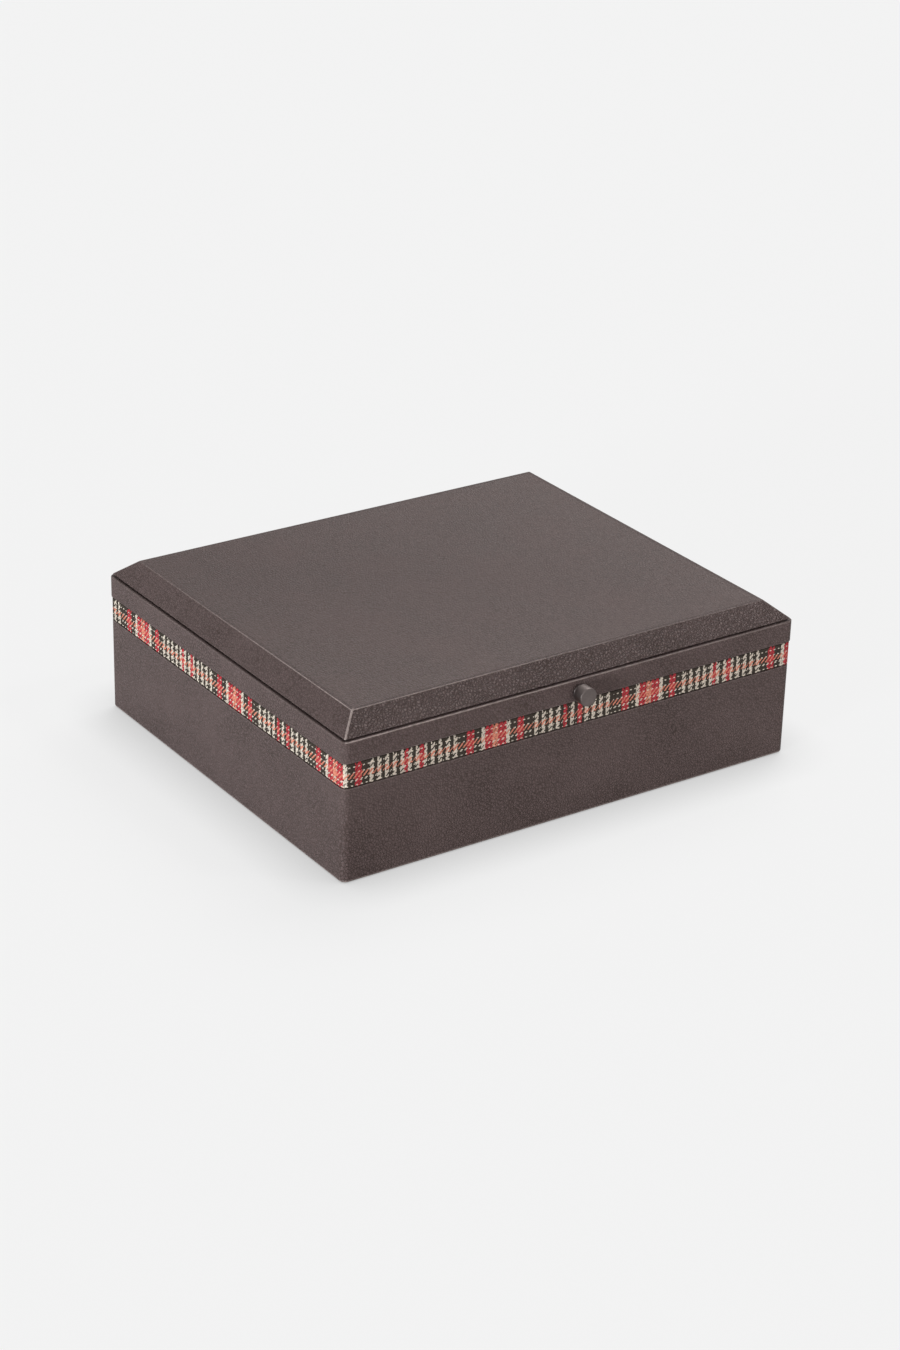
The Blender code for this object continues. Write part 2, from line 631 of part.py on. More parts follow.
def make_knob(front_rail, rim_leather):
    """The turned pull on the lid's front and the screw that holds it from inside."""
    face_y = -LID_DEPTH / 2 - SEAT_GAP
    centre_z = (RIM_BOTTOM + RIM_TOP) / 2 - KNOB_DROP
    bore = KNOB_SCREW_RADIUS + SCREW_CLEARANCE
    profile = [
        (0.0, KNOB_LENGTH),
        (KNOB_RADIUS - KNOB_EDGE, KNOB_LENGTH),
        (KNOB_RADIUS, KNOB_LENGTH - KNOB_EDGE),
        (KNOB_RADIUS, KNOB_NECK_LENGTH + KNOB_EDGE),
        (KNOB_RADIUS - KNOB_EDGE, KNOB_NECK_LENGTH),
        (KNOB_NECK_RADIUS, KNOB_NECK_LENGTH),
        (KNOB_NECK_RADIUS, 0.0),
        (bore, 0.0),
        (bore, KNOB_BORE_DEPTH),
        (0.0, KNOB_BORE_DEPTH),
    ]
    knob = turned("pull_knob", profile, KNOB_SIDES, "gunmetal", (0.0, face_y, centre_z), FACE_FRONT)

    head_y = -LID_WELL_HALF_Y - SEAT_GAP
    shank_y = head_y - KNOB_HEAD_THICKNESS
    tip_y = face_y - KNOB_SCREW_REACH
    profile = [
        (0.0, head_y - tip_y),
        (KNOB_HEAD_RADIUS, head_y - tip_y),
        (KNOB_HEAD_RADIUS, shank_y - tip_y),
        (KNOB_SCREW_RADIUS, shank_y - tip_y),
        (KNOB_SCREW_RADIUS, 0.0),
        (0.0, 0.0),
    ]
    face_back = (-math.pi / 2, 0.0, 0.0)
    screw = turned("knob_screw", profile, BOLT_SIDES, "steel", (0.0, tip_y, centre_z), face_back)
    slot = box((-KNOB_HEAD_RADIUS, head_y - SCREW_SLOT_DEPTH * 2, centre_z - SCREW_SLOT_WIDTH),
               (KNOB_HEAD_RADIUS, head_y + CUT_OVERRUN, centre_z + SCREW_SLOT_WIDTH))
    cut_out(screw, "slot_knob_screw", slot)

    hole = cylinder(bore, (0.0, face_y - CUT_OVERRUN, centre_z), (0.0, head_y, centre_z), BOLT_SIDES)
    hole_cutter = add_cutter("hole_knob", hole)
    combine(front_rail, hole_cutter)
    combine(rim_leather, hole_cutter)
    pocket = cylinder(KNOB_HEAD_RADIUS + SEAT_GAP, (0.0, shank_y - SEAT_GAP, centre_z),
                      (0.0, head_y + CUT_OVERRUN, centre_z), BARREL_SIDES)
    cut_out(front_rail, "pocket_knob_screw", pocket)
    return [knob, screw]


def make_hygrometer(ceiling, board):
    """The dial instrument in the ceiling. Local +Z points down out of its mouth."""
    mouth = (HYGROMETER_X, 0.0, CEILING)
    cup_profile = [
        (CUP_RADIUS, 0.0),
        (CUP_RADIUS, -CUP_DEPTH),
        (0.0, -CUP_DEPTH),
        (0.0, -HYGROMETER_FLOOR),
        (SHELF_RADIUS, -HYGROMETER_FLOOR),
        (SHELF_RADIUS, -DIAL_BACK - SEAT_GAP),
        (CUP_BORE_RADIUS, -DIAL_BACK - SEAT_GAP),
        (CUP_BORE_RADIUS, 0.0),
    ]
    cup = turned("hygrometer_cup", cup_profile, DIAL_SIDES, "brass", mouth, FACE_DOWN)
    close_ring(cup, cup_profile)

    disc_radius = CUP_BORE_RADIUS - SEAT_GAP
    eye = ARBOR_RADIUS + ARBOR_CLEARANCE
    dial_profile = [
        (eye, -DIAL_DROP),
        (disc_radius, -DIAL_DROP),
        (disc_radius, -DIAL_BACK),
        (eye, -DIAL_BACK),
    ]
    dial = turned("hygrometer_dial", dial_profile, DIAL_SIDES, "dial_white", mouth, FACE_DOWN, closed=True)
    lens_profile = [(0.0, 0.0), (disc_radius, 0.0), (disc_radius, -LENS_THICKNESS), (0.0, -LENS_THICKNESS)]
    lens = turned("hygrometer_lens", lens_profile, DIAL_SIDES, "glass", mouth, FACE_DOWN)
    back = SEAT_GAP
    bezel_profile = [
        (BEZEL_WINDOW_RADIUS + BEZEL_EDGE, back + BEZEL_THICKNESS),
        (BEZEL_RADIUS - BEZEL_EDGE, back + BEZEL_THICKNESS),
        (BEZEL_RADIUS, back + BEZEL_THICKNESS - BEZEL_EDGE),
        (BEZEL_RADIUS, back),
        (BEZEL_WINDOW_RADIUS, back),
        (BEZEL_WINDOW_RADIUS, back + BEZEL_THICKNESS - BEZEL_EDGE),
    ]
    bezel = turned("hygrometer_bezel", bezel_profile, DIAL_SIDES, "brass", mouth, FACE_DOWN, closed=True)

    hole = cylinder(CUP_RADIUS + SEAT_GAP, (HYGROMETER_X, 0.0, CEILING - CUT_OVERRUN),
                    (HYGROMETER_X, 0.0, CEILING + CUP_DEPTH + SEAT_GAP), DIAL_SIDES)
    hole_cutter = add_cutter("hole_hygrometer", hole)
    combine(ceiling, hole_cutter)
    combine(board, hole_cutter)
    return [cup, dial, lens, bezel, make_coil()]


def close_ring(piece, profile):
    """Join the first and last points of a cup's profile, which both lie on its rim."""
    rim = piece.data
    rim.edges.add(1)
    rim.edges[-1].vertices = (len(profile) - 1, 0)


def make_coil():
    """The humidity-sensitive strip wound behind the dial."""
    curve = bpy.data.curves.new("hygrometer_coil", "CURVE")
    curve.dimensions = "3D"
    curve.extrude = COIL_STRIP_HEIGHT / 2
    count = COIL_TURNS * COIL_STEPS_PER_TURN + 1
    spline = curve.splines.new("POLY")
    spline.points.add(count - 1)
    for index, point in enumerate(spline.points):
        turns = index / COIL_STEPS_PER_TURN
        radius = COIL_INNER_RADIUS + COIL_PITCH * turns
        angle = math.tau * turns
        point.co = (radius * math.cos(angle), radius * math.sin(angle), 0.0, 1.0)
    curve.materials.append(FINISHES["steel"])
    coil = bpy.data.objects.new("hygrometer_coil", curve)
    HUMIDOR.objects.link(coil)
    middle = (DIAL_BACK + HYGROMETER_FLOOR) / 2
    coil.location = (HYGROMETER_X, 0.0, CEILING + middle)
    wall = coil.modifiers.new("strip", "SOLIDIFY")
    wall.thickness = COIL_STRIP_THICKNESS
    wall.offset = 0.0
    return coil


def make_needle():
    """The hygrometer's hand on its arbor, with its origin on the dial's axis."""
    hand_front = DIAL_DROP - HAND_LIFT - HAND_THICKNESS
    arbor_profile = [
        (0.0, ARBOR_HEAD - hand_front),
        (ARBOR_RADIUS, ARBOR_HEAD - hand_front),
        (ARBOR_RADIUS, -ARBOR_BACK),
        (0.0, -ARBOR_BACK),
    ]
    place = (HYGROMETER_X, 0.0, CEILING)
    needle = turned("hygrometer_needle", arbor_profile, BOLT_SIDES, "black_plastic", place, FACE_DOWN)
    pointer = box((-HAND_TAIL_LENGTH, -HAND_WIDTH / 2, hand_front),
                  (HAND_LENGTH, HAND_WIDTH / 2, hand_front + HAND_THICKNESS))
    for corner in pointer.verts:
        if corner.co.x > 0.0:
            corner.co.y *= HAND_TIP_SHARE
    turn = Matrix.Translation(place) @ Matrix.Rotation(HAND_REST_ANGLE, 4, "Z")
    bmesh.ops.transform(pointer, matrix=turn, verts=pointer.verts)
    join_on(needle, "pointer", pointer)
    return needle


def make_humidifier_plate(ceiling, board):
    """The steel plate that the humidifier's magnets hold on to, and its two screws."""
    plate_shape = slab(PLATE_WIDTH / 2, PLATE_DEPTH / 2, PLATE_BOTTOM, PLATE_BOTTOM + PLATE_THICKNESS,
                       PLATE_CORNER_RADIUS)
    bmesh.ops.translate(plate_shape, vec=(HUMIDIFIER_X, 0.0, 0.0), verts=plate_shape.verts)
    plate = add_piece("humidifier_plate", plate_shape, "steel")
    pieces = [plate]
    for number, way in ((1, -1), (2, 1)):
        name = f"humidifier_plate_screw_{number}"
        place = (HUMIDIFIER_X + way * PLATE_SCREW_SPREAD / 2, 0.0, PLATE_BOTTOM)
        pieces.append(make_screw(name, place, -1))
        drill_screw([plate, ceiling, board], name, place, -1)
    return pieces


def make_humidifier():
    """The humidifier: a plastic tray with foam in it, a slotted grille, and two magnets."""
    half_x = HUMIDIFIER_WIDTH / 2
    half_y = HUMIDIFIER_DEPTH / 2
    shift = Vector((HUMIDIFIER_X, 0.0, 0.0))

    def placed(shape):
        bmesh.ops.translate(shape, vec=shift, verts=shape.verts)
        return shape

    tray = add_piece("humidifier_tray", placed(slab(half_x, half_y, HUMIDIFIER_BOTTOM, HUMIDIFIER_TOP,
                                                    HUMIDIFIER_CORNER_RADIUS)), "black_plastic")
    soften(tray, CEDAR_EDGE_RADIUS)
    mouth_x = half_x - HUMIDIFIER_WALL
    mouth_y = half_y - HUMIDIFIER_WALL
    mouth_corner = inner_radius(HUMIDIFIER_CORNER_RADIUS, HUMIDIFIER_WALL)
    foam_top = HUMIDIFIER_TOP - HUMIDIFIER_BACK
    cut_out(tray, "cut_humidifier", placed(slab(mouth_x, mouth_y, HUMIDIFIER_BOTTOM - CUT_OVERRUN,
                                                foam_top, mouth_corner)))
    grille_top = HUMIDIFIER_BOTTOM + GRILLE_THICKNESS
    fit_corner = inner_radius(mouth_corner, SEAT_GAP)
    grille = add_piece("humidifier_grille",
                       placed(slab(mouth_x - SEAT_GAP, mouth_y - SEAT_GAP, HUMIDIFIER_BOTTOM,
                                   grille_top, fit_corner)), "black_plastic")
    for index in range(SLOT_COUNT):
        x = HUMIDIFIER_X + (index - (SLOT_COUNT - 1) / 2) * SLOT_PITCH
        slot = box((x - SLOT_WIDTH / 2, -SLOT_LENGTH / 2, HUMIDIFIER_BOTTOM - CUT_OVERRUN),
                   (x + SLOT_WIDTH / 2, SLOT_LENGTH / 2, grille_top + CUT_OVERRUN))
        cut_out(grille, f"slot_{index}", slot)
    foam = add_piece("humidifier_foam",
                     placed(slab(mouth_x - SEAT_GAP, mouth_y - SEAT_GAP, grille_top + SEAT_GAP,
                                 foam_top - SEAT_GAP, fit_corner)), "foam")
    pieces = [tray, grille, foam]
    for tag, way in (("left", -1), ("right", 1)):
        x = HUMIDIFIER_X + way * MAGNET_SPREAD / 2
        floor = HUMIDIFIER_TOP - MAGNET_THICKNESS
        magnet = cylinder(MAGNET_RADIUS, (x, 0.0, floor), (x, 0.0, HUMIDIFIER_TOP), BARREL_SIDES)
        pieces.append(add_piece(f"humidifier_magnet_{tag}", magnet, "steel"))
        pocket = cylinder(MAGNET_RADIUS + SEAT_GAP, (x, 0.0, floor - SEAT_GAP),
                          (x, 0.0, HUMIDIFIER_TOP + CUT_OVERRUN), BARREL_SIDES)
        cut_out(tray, f"pocket_magnet_{tag}", pocket)
    return pieces


def make_divider():
    """The cedar divider, with a notch at the middle of its top for a finger."""
    bottom = CEDAR_BASE_TOP + SEAT_GAP
    reach = INSIDE_HALF_Y - SEAT_GAP
    board = box((DIVIDER_X - DIVIDER_THICKNESS / 2, -reach, bottom),
                (DIVIDER_X + DIVIDER_THICKNESS / 2, reach, bottom + DIVIDER_HEIGHT))
    divider = add_piece("divider", board, "cedar")
    soften(divider, CEDAR_EDGE_RADIUS)
    notch_z = bottom + DIVIDER_HEIGHT + DIVIDER_NOTCH_RISE
    notch = cylinder(DIVIDER_NOTCH_RADIUS, (DIVIDER_X - DIVIDER_THICKNESS, 0.0, notch_z),
                     (DIVIDER_X + DIVIDER_THICKNESS, 0.0, notch_z), DIAL_SIDES)
    cut_out(divider, "divider_notch", notch)
    return divider


def main():
    """Make every piece and hang the moving ones on their axes."""
    make_case_boards()
    make_case_cover()
    make_cedar_lining()
    frame_pieces = make_lid_frame()
    front_rail, back_rail = frame_pieces[:2]
    rim_leather = frame_pieces[-1]
    leather, board, ceiling = make_lid_panel()
    objects = bpy.data.objects
    rim_pieces = [objects["tweed_band"], objects["case_rim_trim"]]
    hinge_pieces = make_hinges(objects["back_board"], back_rail, rim_pieces, rim_leather)
    knob_pieces = make_knob(front_rail, rim_leather)
    hygrometer = make_hygrometer(ceiling, board)
    needle = make_needle()
    plate_pieces = make_humidifier_plate(ceiling, board)
    humidifier = make_humidifier()
    divider = make_divider()

    lid_pivot = pivot("lid_pivot", (0.0, HINGE_Y, HINGE_Z))
    carry(lid_pivot, frame_pieces + [leather, board, ceiling] + hinge_pieces + knob_pieces
          + hygrometer + plate_pieces)
    needle_pivot = pivot("needle_pivot", (HYGROMETER_X, 0.0, CEILING))
    carry(lid_pivot, [needle_pivot])
    carry(needle_pivot, [needle])
    humidifier_guide = pivot("humidifier_guide", (HUMIDIFIER_X, 0.0, HUMIDIFIER_TOP))
    carry(lid_pivot, [humidifier_guide])
    carry(humidifier_guide, humidifier)
    divider_guide = pivot("divider_guide", (DIVIDER_X, 0.0, CEDAR_BASE_TOP))
    carry(divider_guide, [divider])


main()
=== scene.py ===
"""The looks of a desk cigar humidor: leather skins, a woven tweed band, cedar lining, brass
hinges, a dial hygrometer and a humidifier, around the solids of its CAD model. Metres, +Z up.
"""
import math

import bmesh
import bpy
from bpy.props import FloatProperty, FloatVectorProperty, IntProperty, PointerProperty
from mathutils import Matrix, Vector, noise


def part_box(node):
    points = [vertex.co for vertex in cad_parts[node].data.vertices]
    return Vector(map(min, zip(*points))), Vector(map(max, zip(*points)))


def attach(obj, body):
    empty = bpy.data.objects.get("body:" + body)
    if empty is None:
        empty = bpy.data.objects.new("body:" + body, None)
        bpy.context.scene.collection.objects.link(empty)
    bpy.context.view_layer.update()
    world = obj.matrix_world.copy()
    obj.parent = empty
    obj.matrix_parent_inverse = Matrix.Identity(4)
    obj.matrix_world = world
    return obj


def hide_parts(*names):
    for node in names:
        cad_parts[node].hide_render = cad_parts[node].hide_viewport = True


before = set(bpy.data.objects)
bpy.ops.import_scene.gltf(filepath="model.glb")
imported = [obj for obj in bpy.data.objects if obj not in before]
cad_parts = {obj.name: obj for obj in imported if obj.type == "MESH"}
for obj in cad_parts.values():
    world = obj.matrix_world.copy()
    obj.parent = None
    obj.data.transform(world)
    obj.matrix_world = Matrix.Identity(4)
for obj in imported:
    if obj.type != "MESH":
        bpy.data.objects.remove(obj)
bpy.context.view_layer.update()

bl_info = {
    "name": "Cigar humidor",
    "version": (1, 0, 0),
    "blender": (4, 5, 0),
    "location": "3D View > Sidebar > Humidor",
    "description": "Builds the finished pieces of a desk cigar humidor around its CAD model",
    "category": "Add Mesh",
}

MM = 0.001

# Boxes of the CAD nodes that the finished pieces stand for
CASE_LOW, CASE_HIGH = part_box("case_leather")
BAND_LOW, BAND_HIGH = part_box("tweed_band")
TRIM_LOW, TRIM_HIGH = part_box("case_rim_trim")
RIM_LOW, RIM_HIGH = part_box("lid_rim_leather")
PANEL_LOW, PANEL_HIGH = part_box("lid_panel_leather")
KNOB_LOW, KNOB_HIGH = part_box("pull_knob")
FELT_LOW, FELT_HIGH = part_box("base_felt")
FOAM_LOW, FOAM_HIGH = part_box("humidifier_foam")
DIAL_LOW, DIAL_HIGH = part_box("hygrometer_dial")

# Sizes of the covering
CORNER_RADIUS = 3.5 * MM
RIM_EDGE = 0.35 * MM
RIM_FOOT_EDGE = 0.5 * MM
FOOT_EDGE = 1.0 * MM
LEATHER = 1.0 * MM
TRIM = 0.8 * MM
TURN_IN = 12.0 * MM
WELL = Vector((120.4, 100.4)) * MM
LID_WELL = Vector((120.7, 100.7)) * MM
LEDGE = 1.8 * MM
CHAMFER_RUN = 9.5 * MM
SEAM_GAP = 0.05 * MM
STRIP_EDGE = 0.15 * MM

# The lid's edges painted pale as wear and painted highlight: a strip along the front, and how much
# of it is left elsewhere
HIGHLIT_EDGE = 1.0 * MM
HIGHLIGHT_BEHIND = 0.15
HIGHLIGHT_RIGHT = 0.30

# Room for the hinge leaves in the band and the lid's rim, and how flat the skin is pressed there
HINGE_X = 75.0 * MM
HINGE_ROOM = 16.3 * MM
HINGE_DEPTH = 1.1 * MM
SQUEEZE = 0.01

# The woven band. Stripes are given as the first thread of each and its yarn, or None where the
# plain check goes on
FIRST_RED = 7.7 * MM
LIP = 0.45 * MM
TWILL_STEPS = 5
WARP_FLOAT = 4
CHECK_REPEAT = 8
CHECK_DARK = 4
WARP_REPEAT = 172
WARP_STRIPES = (
    (0, "red"), (4, "dark"), (12, None), (48, "red"), (52, None), (64, "red"), (68, None),
    (104, "dark"), (114, "red"), (122, "dark"), (130, "cream"), (134, "red"), (142, "orange"),
    (148, "red"), (156, "cream"), (160, "dark"), (168, "red"),
)
# The dark first and last picks are painted shade: the shadow under the lid and the dark line along
# the band's lower seam
WEFT_STRIPES = (
    (0, "dark"), (1, None), (3, "cream"), (4, None), (8, "cream"), (9, "orange"), (14, None),
    (15, "cream"), (17, None), (20, "cream"), (21, "dark"),
)

# How much the patterns of wood and brushed metal are drawn out along their grain
GRAIN_STRETCH = 0.06
BRUSH_STRETCH = 0.02

# The hygrometer's scale, in degrees from straight up, and its printing
SCALE_START = -135.0
SCALE_PER_PERCENT = 2.7
INK = 0.04 * MM
TICK_TOP = 15.6 * MM
LONG_TICK = (0.34 * MM, 2.4 * MM)
SHORT_TICK = (0.18 * MM, 1.3 * MM)
FIGURE_RADIUS = 11.2 * MM
FIGURE_SIZE = 2.7 * MM
PERCENT_SIZE = 3.4 * MM
PERCENT_DROP = 9.5 * MM
ZONE_INNER = 13.9 * MM
ZONE_OUTER = 15.0 * MM
ZONE_PERCENT = (65, 75)

# The stage: lights by the way they shine, their spread in degrees and their tint
LAMPS = (
    ("back_light", (-0.55, -0.35, -0.76), 40.0, (1.0, 1.0, 1.0)),
    ("side_light", (0.88, 0.28, -0.02), 14.0, (0.91, 0.99, 1.03)),
    ("front_light", (-0.10, 0.98, -0.02), 14.0, (1.0, 1.0, 1.0)),
    ("glint_light", (-0.51, 0.455, -0.72), 8.0, (1.0, 0.99, 0.96)),
)
CAMERA_PLACE = (-0.78156, -1.13442, 0.68112)
CAMERA_TURN = (64.688, -1.378, -33.995)
CAMERA_LENS = 81.375
CAMERA_FILM = 36.0
CAMERA_REACH = 100.0
FLOOR_TONE = 0.93
FLOOR_GLOW = 0.86
CONTACT_REACH = 30.0 * MM
CONTACT_SHADE = 0.54

# Fineness
CORNER_STEPS = 10
ARC_STEPS = 6
KNOB_STEPS = 96
ZONE_STEPS = 24
SUPPORT = 0.25 * MM
HAIR = 0.01 * MM
WELD = 0.001 * MM
SHARP_ANGLE = math.radians(35.0)
WEAVE_SHARP_ANGLE = math.radians(85.0)


def colour_setting(name, description, default):
    """A property for a colour."""
    return FloatVectorProperty(name=name, description=description, subtype="COLOR", min=0.0,
                               max=1.0, default=default)


def length_setting(name, description, default, least=0.0):
    """A property for a length."""
    return FloatProperty(name=name, description=description, subtype="DISTANCE", unit="LENGTH",
                         min=least, default=default)


def light_setting(name, description, default):
    """A property for the strength of a light."""
    return FloatProperty(name=name, description=description, min=0.0, default=default)


class HumidorLeather(bpy.types.PropertyGroup):
    """The leather of the case and lid."""
    tone: colour_setting("Leather tone", "Colour of the leather", (0.108, 0.0735, 0.0705))
    pore_tone: colour_setting("Pore tone", "Colour in the grain's creases", (0.038, 0.025, 0.021))
    # The worn tone is also the colour of the painted highlights along the edges and of the painted
    # glints on the front bevel
    worn_tone: colour_setting("Worn tone", "Colour along rubbed edges", (0.340, 0.270, 0.250))
    grain_size: length_setting("Grain size", "Width of one pebble", 1.45 * MM, 0.2 * MM)
    grain_depth: length_setting("Grain depth", "Depth of the creases between pebbles", 0.32 * MM)


class HumidorTweed(bpy.types.PropertyGroup):
    """The woven band round the top of the case."""
    cream: colour_setting("Cream yarn", "Colour of the cream yarn", (0.650, 0.550, 0.450))
    dark: colour_setting("Dark yarn", "Colour of the dark yarn", (0.034, 0.023, 0.015))
    red: colour_setting("Red yarn", "Colour of the red yarn", (0.470, 0.010, 0.022))
    orange: colour_setting("Orange yarn", "Colour of the orange yarn", (0.640, 0.200, 0.120))
    threads: IntProperty(name="Threads round", description="Warp threads once round the case",
                         default=1840, min=400)
    picks: IntProperty(name="Threads high", description="Weft threads in the height of the band",
                       default=22, min=8)
    relief: length_setting("Weave relief", "How far a thread stands over its neighbours", 0.11 * MM)


class HumidorTimber(bpy.types.PropertyGroup):
    """The cedar lining and the fibreboard that the covering is glued on."""
    cedar: colour_setting("Cedar", "Colour of the early wood", (0.470, 0.235, 0.120))
    cedar_dark: colour_setting("Late wood", "Colour of the late wood", (0.270, 0.110, 0.055))
    board: colour_setting("Board", "Colour of the fibreboard", (0.330, 0.215, 0.125))


class HumidorMetal(bpy.types.PropertyGroup):
    """The hinges, the instrument's case, the knob and the small steel."""
    brass: colour_setting("Brass", "Colour of the brass", (0.620, 0.440, 0.180))
    gunmetal: colour_setting("Gunmetal", "Colour of the knob", (0.140, 0.116, 0.110))
    steel: colour_setting("Steel", "Colour of the steel", (0.480, 0.480, 0.500))


class HumidorStage(bpy.types.PropertyGroup):
    """The floor, lights and camera."""
    floor_size: length_setting("Floor size", "Half the width of the floor", 8.0)
    background: FloatProperty(name="Background", description="Brightness of the floor and backdrop",
                              min=0.0, max=1.0, default=0.904)
    sky_light: light_setting("Sky light", "Even light from all round", 0.29)
    back_light: light_setting("Back light", "Soft light from above, behind on the right", 1.85)
    glint_light: light_setting("Glint light", "Small light from above on the right front", 0.34)
    side_light: light_setting("Side light", "Low cool light from the left front", 5.20)
    front_light: light_setting("Front light", "Low soft light from the front", 0.62)


class Recipe:
    """A procedural finish: the nodes of a new material or world, round its first shader."""

    def __init__(self, name, sockets, kind="materials", shader="Principled BSDF"):
        self.owner = getattr(bpy.data, kind).new(name)
        self.owner.use_nodes = True
        self.nodes = self.owner.node_tree.nodes
        self.links = self.owner.node_tree.links
        self.shader = self.nodes[shader]
        for socket, value in sockets.items():
            self.shader.inputs[socket].default_value = value

    def add(self, kind, feeds=None, **settings):
        """A node with its settings, its inputs fed with values or with other nodes' outputs."""
        node = self.nodes.new(kind)
        for setting, value in settings.items():
            setattr(node, setting, value)
        for socket, value in (feeds or {}).items():
            self.feed(node.inputs[socket], value)
        return node

    def feed(self, socket, value):
        """Link an output to a socket, or set the socket's own value."""
        if isinstance(value, bpy.types.NodeSocket):
            self.links.new(value, socket)
        else:
            socket.default_value = value

    def math(self, operation, *values):
        """One step of arithmetic."""
        return self.add("ShaderNodeMath", dict(enumerate(values)), operation=operation).outputs[0]

    def vector(self, operation, first, second):
        """One step of vector arithmetic. SCALE takes a number second."""
        socket = "Scale" if operation == "SCALE" else 1
        return self.add("ShaderNodeVectorMath", {0: first, socket: second},
                        operation=operation).outputs[0]

    def mix(self, share, low, high):
        """A colour between two, by share."""
        return self.add("ShaderNodeMix", {0: share, 6: low, 7: high}, data_type="RGBA").outputs[2]

    def spread(self, value, low, high, new_low=0.0, new_high=1.0):
        """A value moved from one range to another and held inside it."""
        return self.add("ShaderNodeMapRange", {0: value, 1: low, 2: high, 3: new_low, 4: new_high},
                        clamp=True).outputs[0]

    def place(self, scale=(1.0, 1.0, 1.0), shift=(0.0, 0.0, 0.0)):
        """Object coordinates, scaled and shifted."""
        coordinates = self.add("ShaderNodeTexCoord").outputs["Object"]
        return self.add("ShaderNodeMapping", {"Vector": coordinates, "Scale": scale,
                                              "Location": shift}).outputs[0]

    def noise(self, vector, scale, detail=2.0, roughness=0.5, output="Fac"):
        """Cloudy noise with features of about 1 / scale."""
        return self.add("ShaderNodeTexNoise", {"Vector": vector, "Scale": scale, "Detail": detail,
                                               "Roughness": roughness}).outputs[output]

    def bump(self, height, distance, strength, under=None):
        """A normal from a height, on top of another normal."""
        feeds = {"Height": height, "Distance": distance, "Strength": strength}
        if under is not None:
            feeds["Normal"] = under
        return self.add("ShaderNodeBump", feeds).outputs[0]

    def attribute(self, name):
        """A number stored on the mesh."""
        return self.add("ShaderNodeAttribute", attribute_name=name).outputs["Fac"]

    def seen(self):
        """1 for what the camera sees directly, in gloss or through glass, and 0 for light."""
        path = self.add("ShaderNodeLightPath").outputs
        seen = self.math("MAXIMUM", path["Is Camera Ray"], path["Is Glossy Ray"])
        return self.math("MAXIMUM", seen, path["Is Transmission Ray"])

    def finish(self, colour, roughness=None, normal=None):
        """Connect the shader and return the material."""
        self.feed(self.shader.inputs["Base Color"], colour)
        if roughness is not None:
            self.feed(self.shader.inputs["Roughness"], roughness)
        if normal is not None:
            self.feed(self.shader.inputs["Normal"], normal)
        return self.owner


def solid(colour):
    """A colour with its alpha."""
    return (colour[0], colour[1], colour[2], 1.0)


def leather_finish(skin):
    """Pebbled taupe leather, darker in its creases, pale along its edges as wear and painted
    highlight, and with painted glints on the grain of the front bevel.
    """
    recipe = Recipe("pebbled_leather", {"Roughness": 0.45, "Specular IOR Level": 0.10})
    place = recipe.place()
    drift = recipe.noise(place, 900.0, output="Color")
    bent = recipe.vector("ADD", place, recipe.vector("SCALE", drift, 0.7 * MM))
    cells = recipe.add("ShaderNodeTexVoronoi", {"Vector": bent, "Scale": 1.0 / skin.grain_size},
                       feature="DISTANCE_TO_EDGE").outputs["Distance"]
    pebble = recipe.spread(cells, 0.0, 0.32)
    crease = recipe.noise(place, 420.0, 4.0, 0.65)
    pores = recipe.noise(place, 5200.0)
    patches = recipe.noise(place, 28.0, 3.0)
    tone = recipe.mix(recipe.spread(pebble, 0.0, 0.55), solid(skin.pore_tone), solid(skin.tone))
    light = recipe.mix(0.06, solid(skin.tone), solid(skin.worn_tone))
    tone = recipe.mix(recipe.spread(patches, 0.35, 0.70, 0.0, 0.55), tone, light)
    tone = recipe.mix(recipe.spread(crease, 0.35, 0.65, 0.30, 0.0), tone, solid(skin.pore_tone))
    # Painted glints: the pebbles' crowns on the front bevel are mixed toward the pale tone
    stretched = recipe.attribute("stretched")
    crown_glints = recipe.math("MULTIPLY", stretched, recipe.spread(cells, 0.18, 0.45, 0.0, 0.30))
    tone = recipe.mix(crown_glints, tone, solid(skin.worn_tone))
    # Wear and painted highlight: the pale tone along ridges and edges, from the mesh attribute,
    # broken up by the creases
    broken = recipe.spread(crease, 0.25, 0.60, 0.35, 1.0)
    rubbed_and_highlit = recipe.math("MULTIPLY", recipe.attribute("wear"), broken)
    tone = recipe.mix(rubbed_and_highlit, tone, solid(skin.worn_tone))
    roughness = recipe.spread(patches, 0.3, 0.7, 0.40, 0.50)
    height = recipe.math("MULTIPLY_ADD", crease, 0.5, pebble)
    height = recipe.math("MULTIPLY", height, recipe.spread(stretched, 0.0, 1.0, 0.8, 2.2))
    normal = recipe.bump(height, skin.grain_depth, 0.8)
    normal = recipe.bump(pores, 0.012 * MM, 0.7, normal)
    return recipe.finish(tone, roughness, normal)


def stripes(recipe, share, threads, count, cloth):
    """Stripes of yarn over a share from 0 to 1 of a count of threads, as colour and as cover."""
    ramp = recipe.add("ShaderNodeValToRGB", {"Fac": share})
    ramp.color_ramp.interpolation = "CONSTANT"
    elements = ramp.color_ramp.elements
    for index, (thread, yarn) in enumerate(threads):
        start = thread / count
        element = elements[index] if index < 2 else elements.new(start)
        element.position = start
        element.color = solid(getattr(cloth, yarn)) if yarn else (0.0, 0.0, 0.0, 0.0)
    return ramp.outputs["Color"], ramp.outputs["Alpha"]


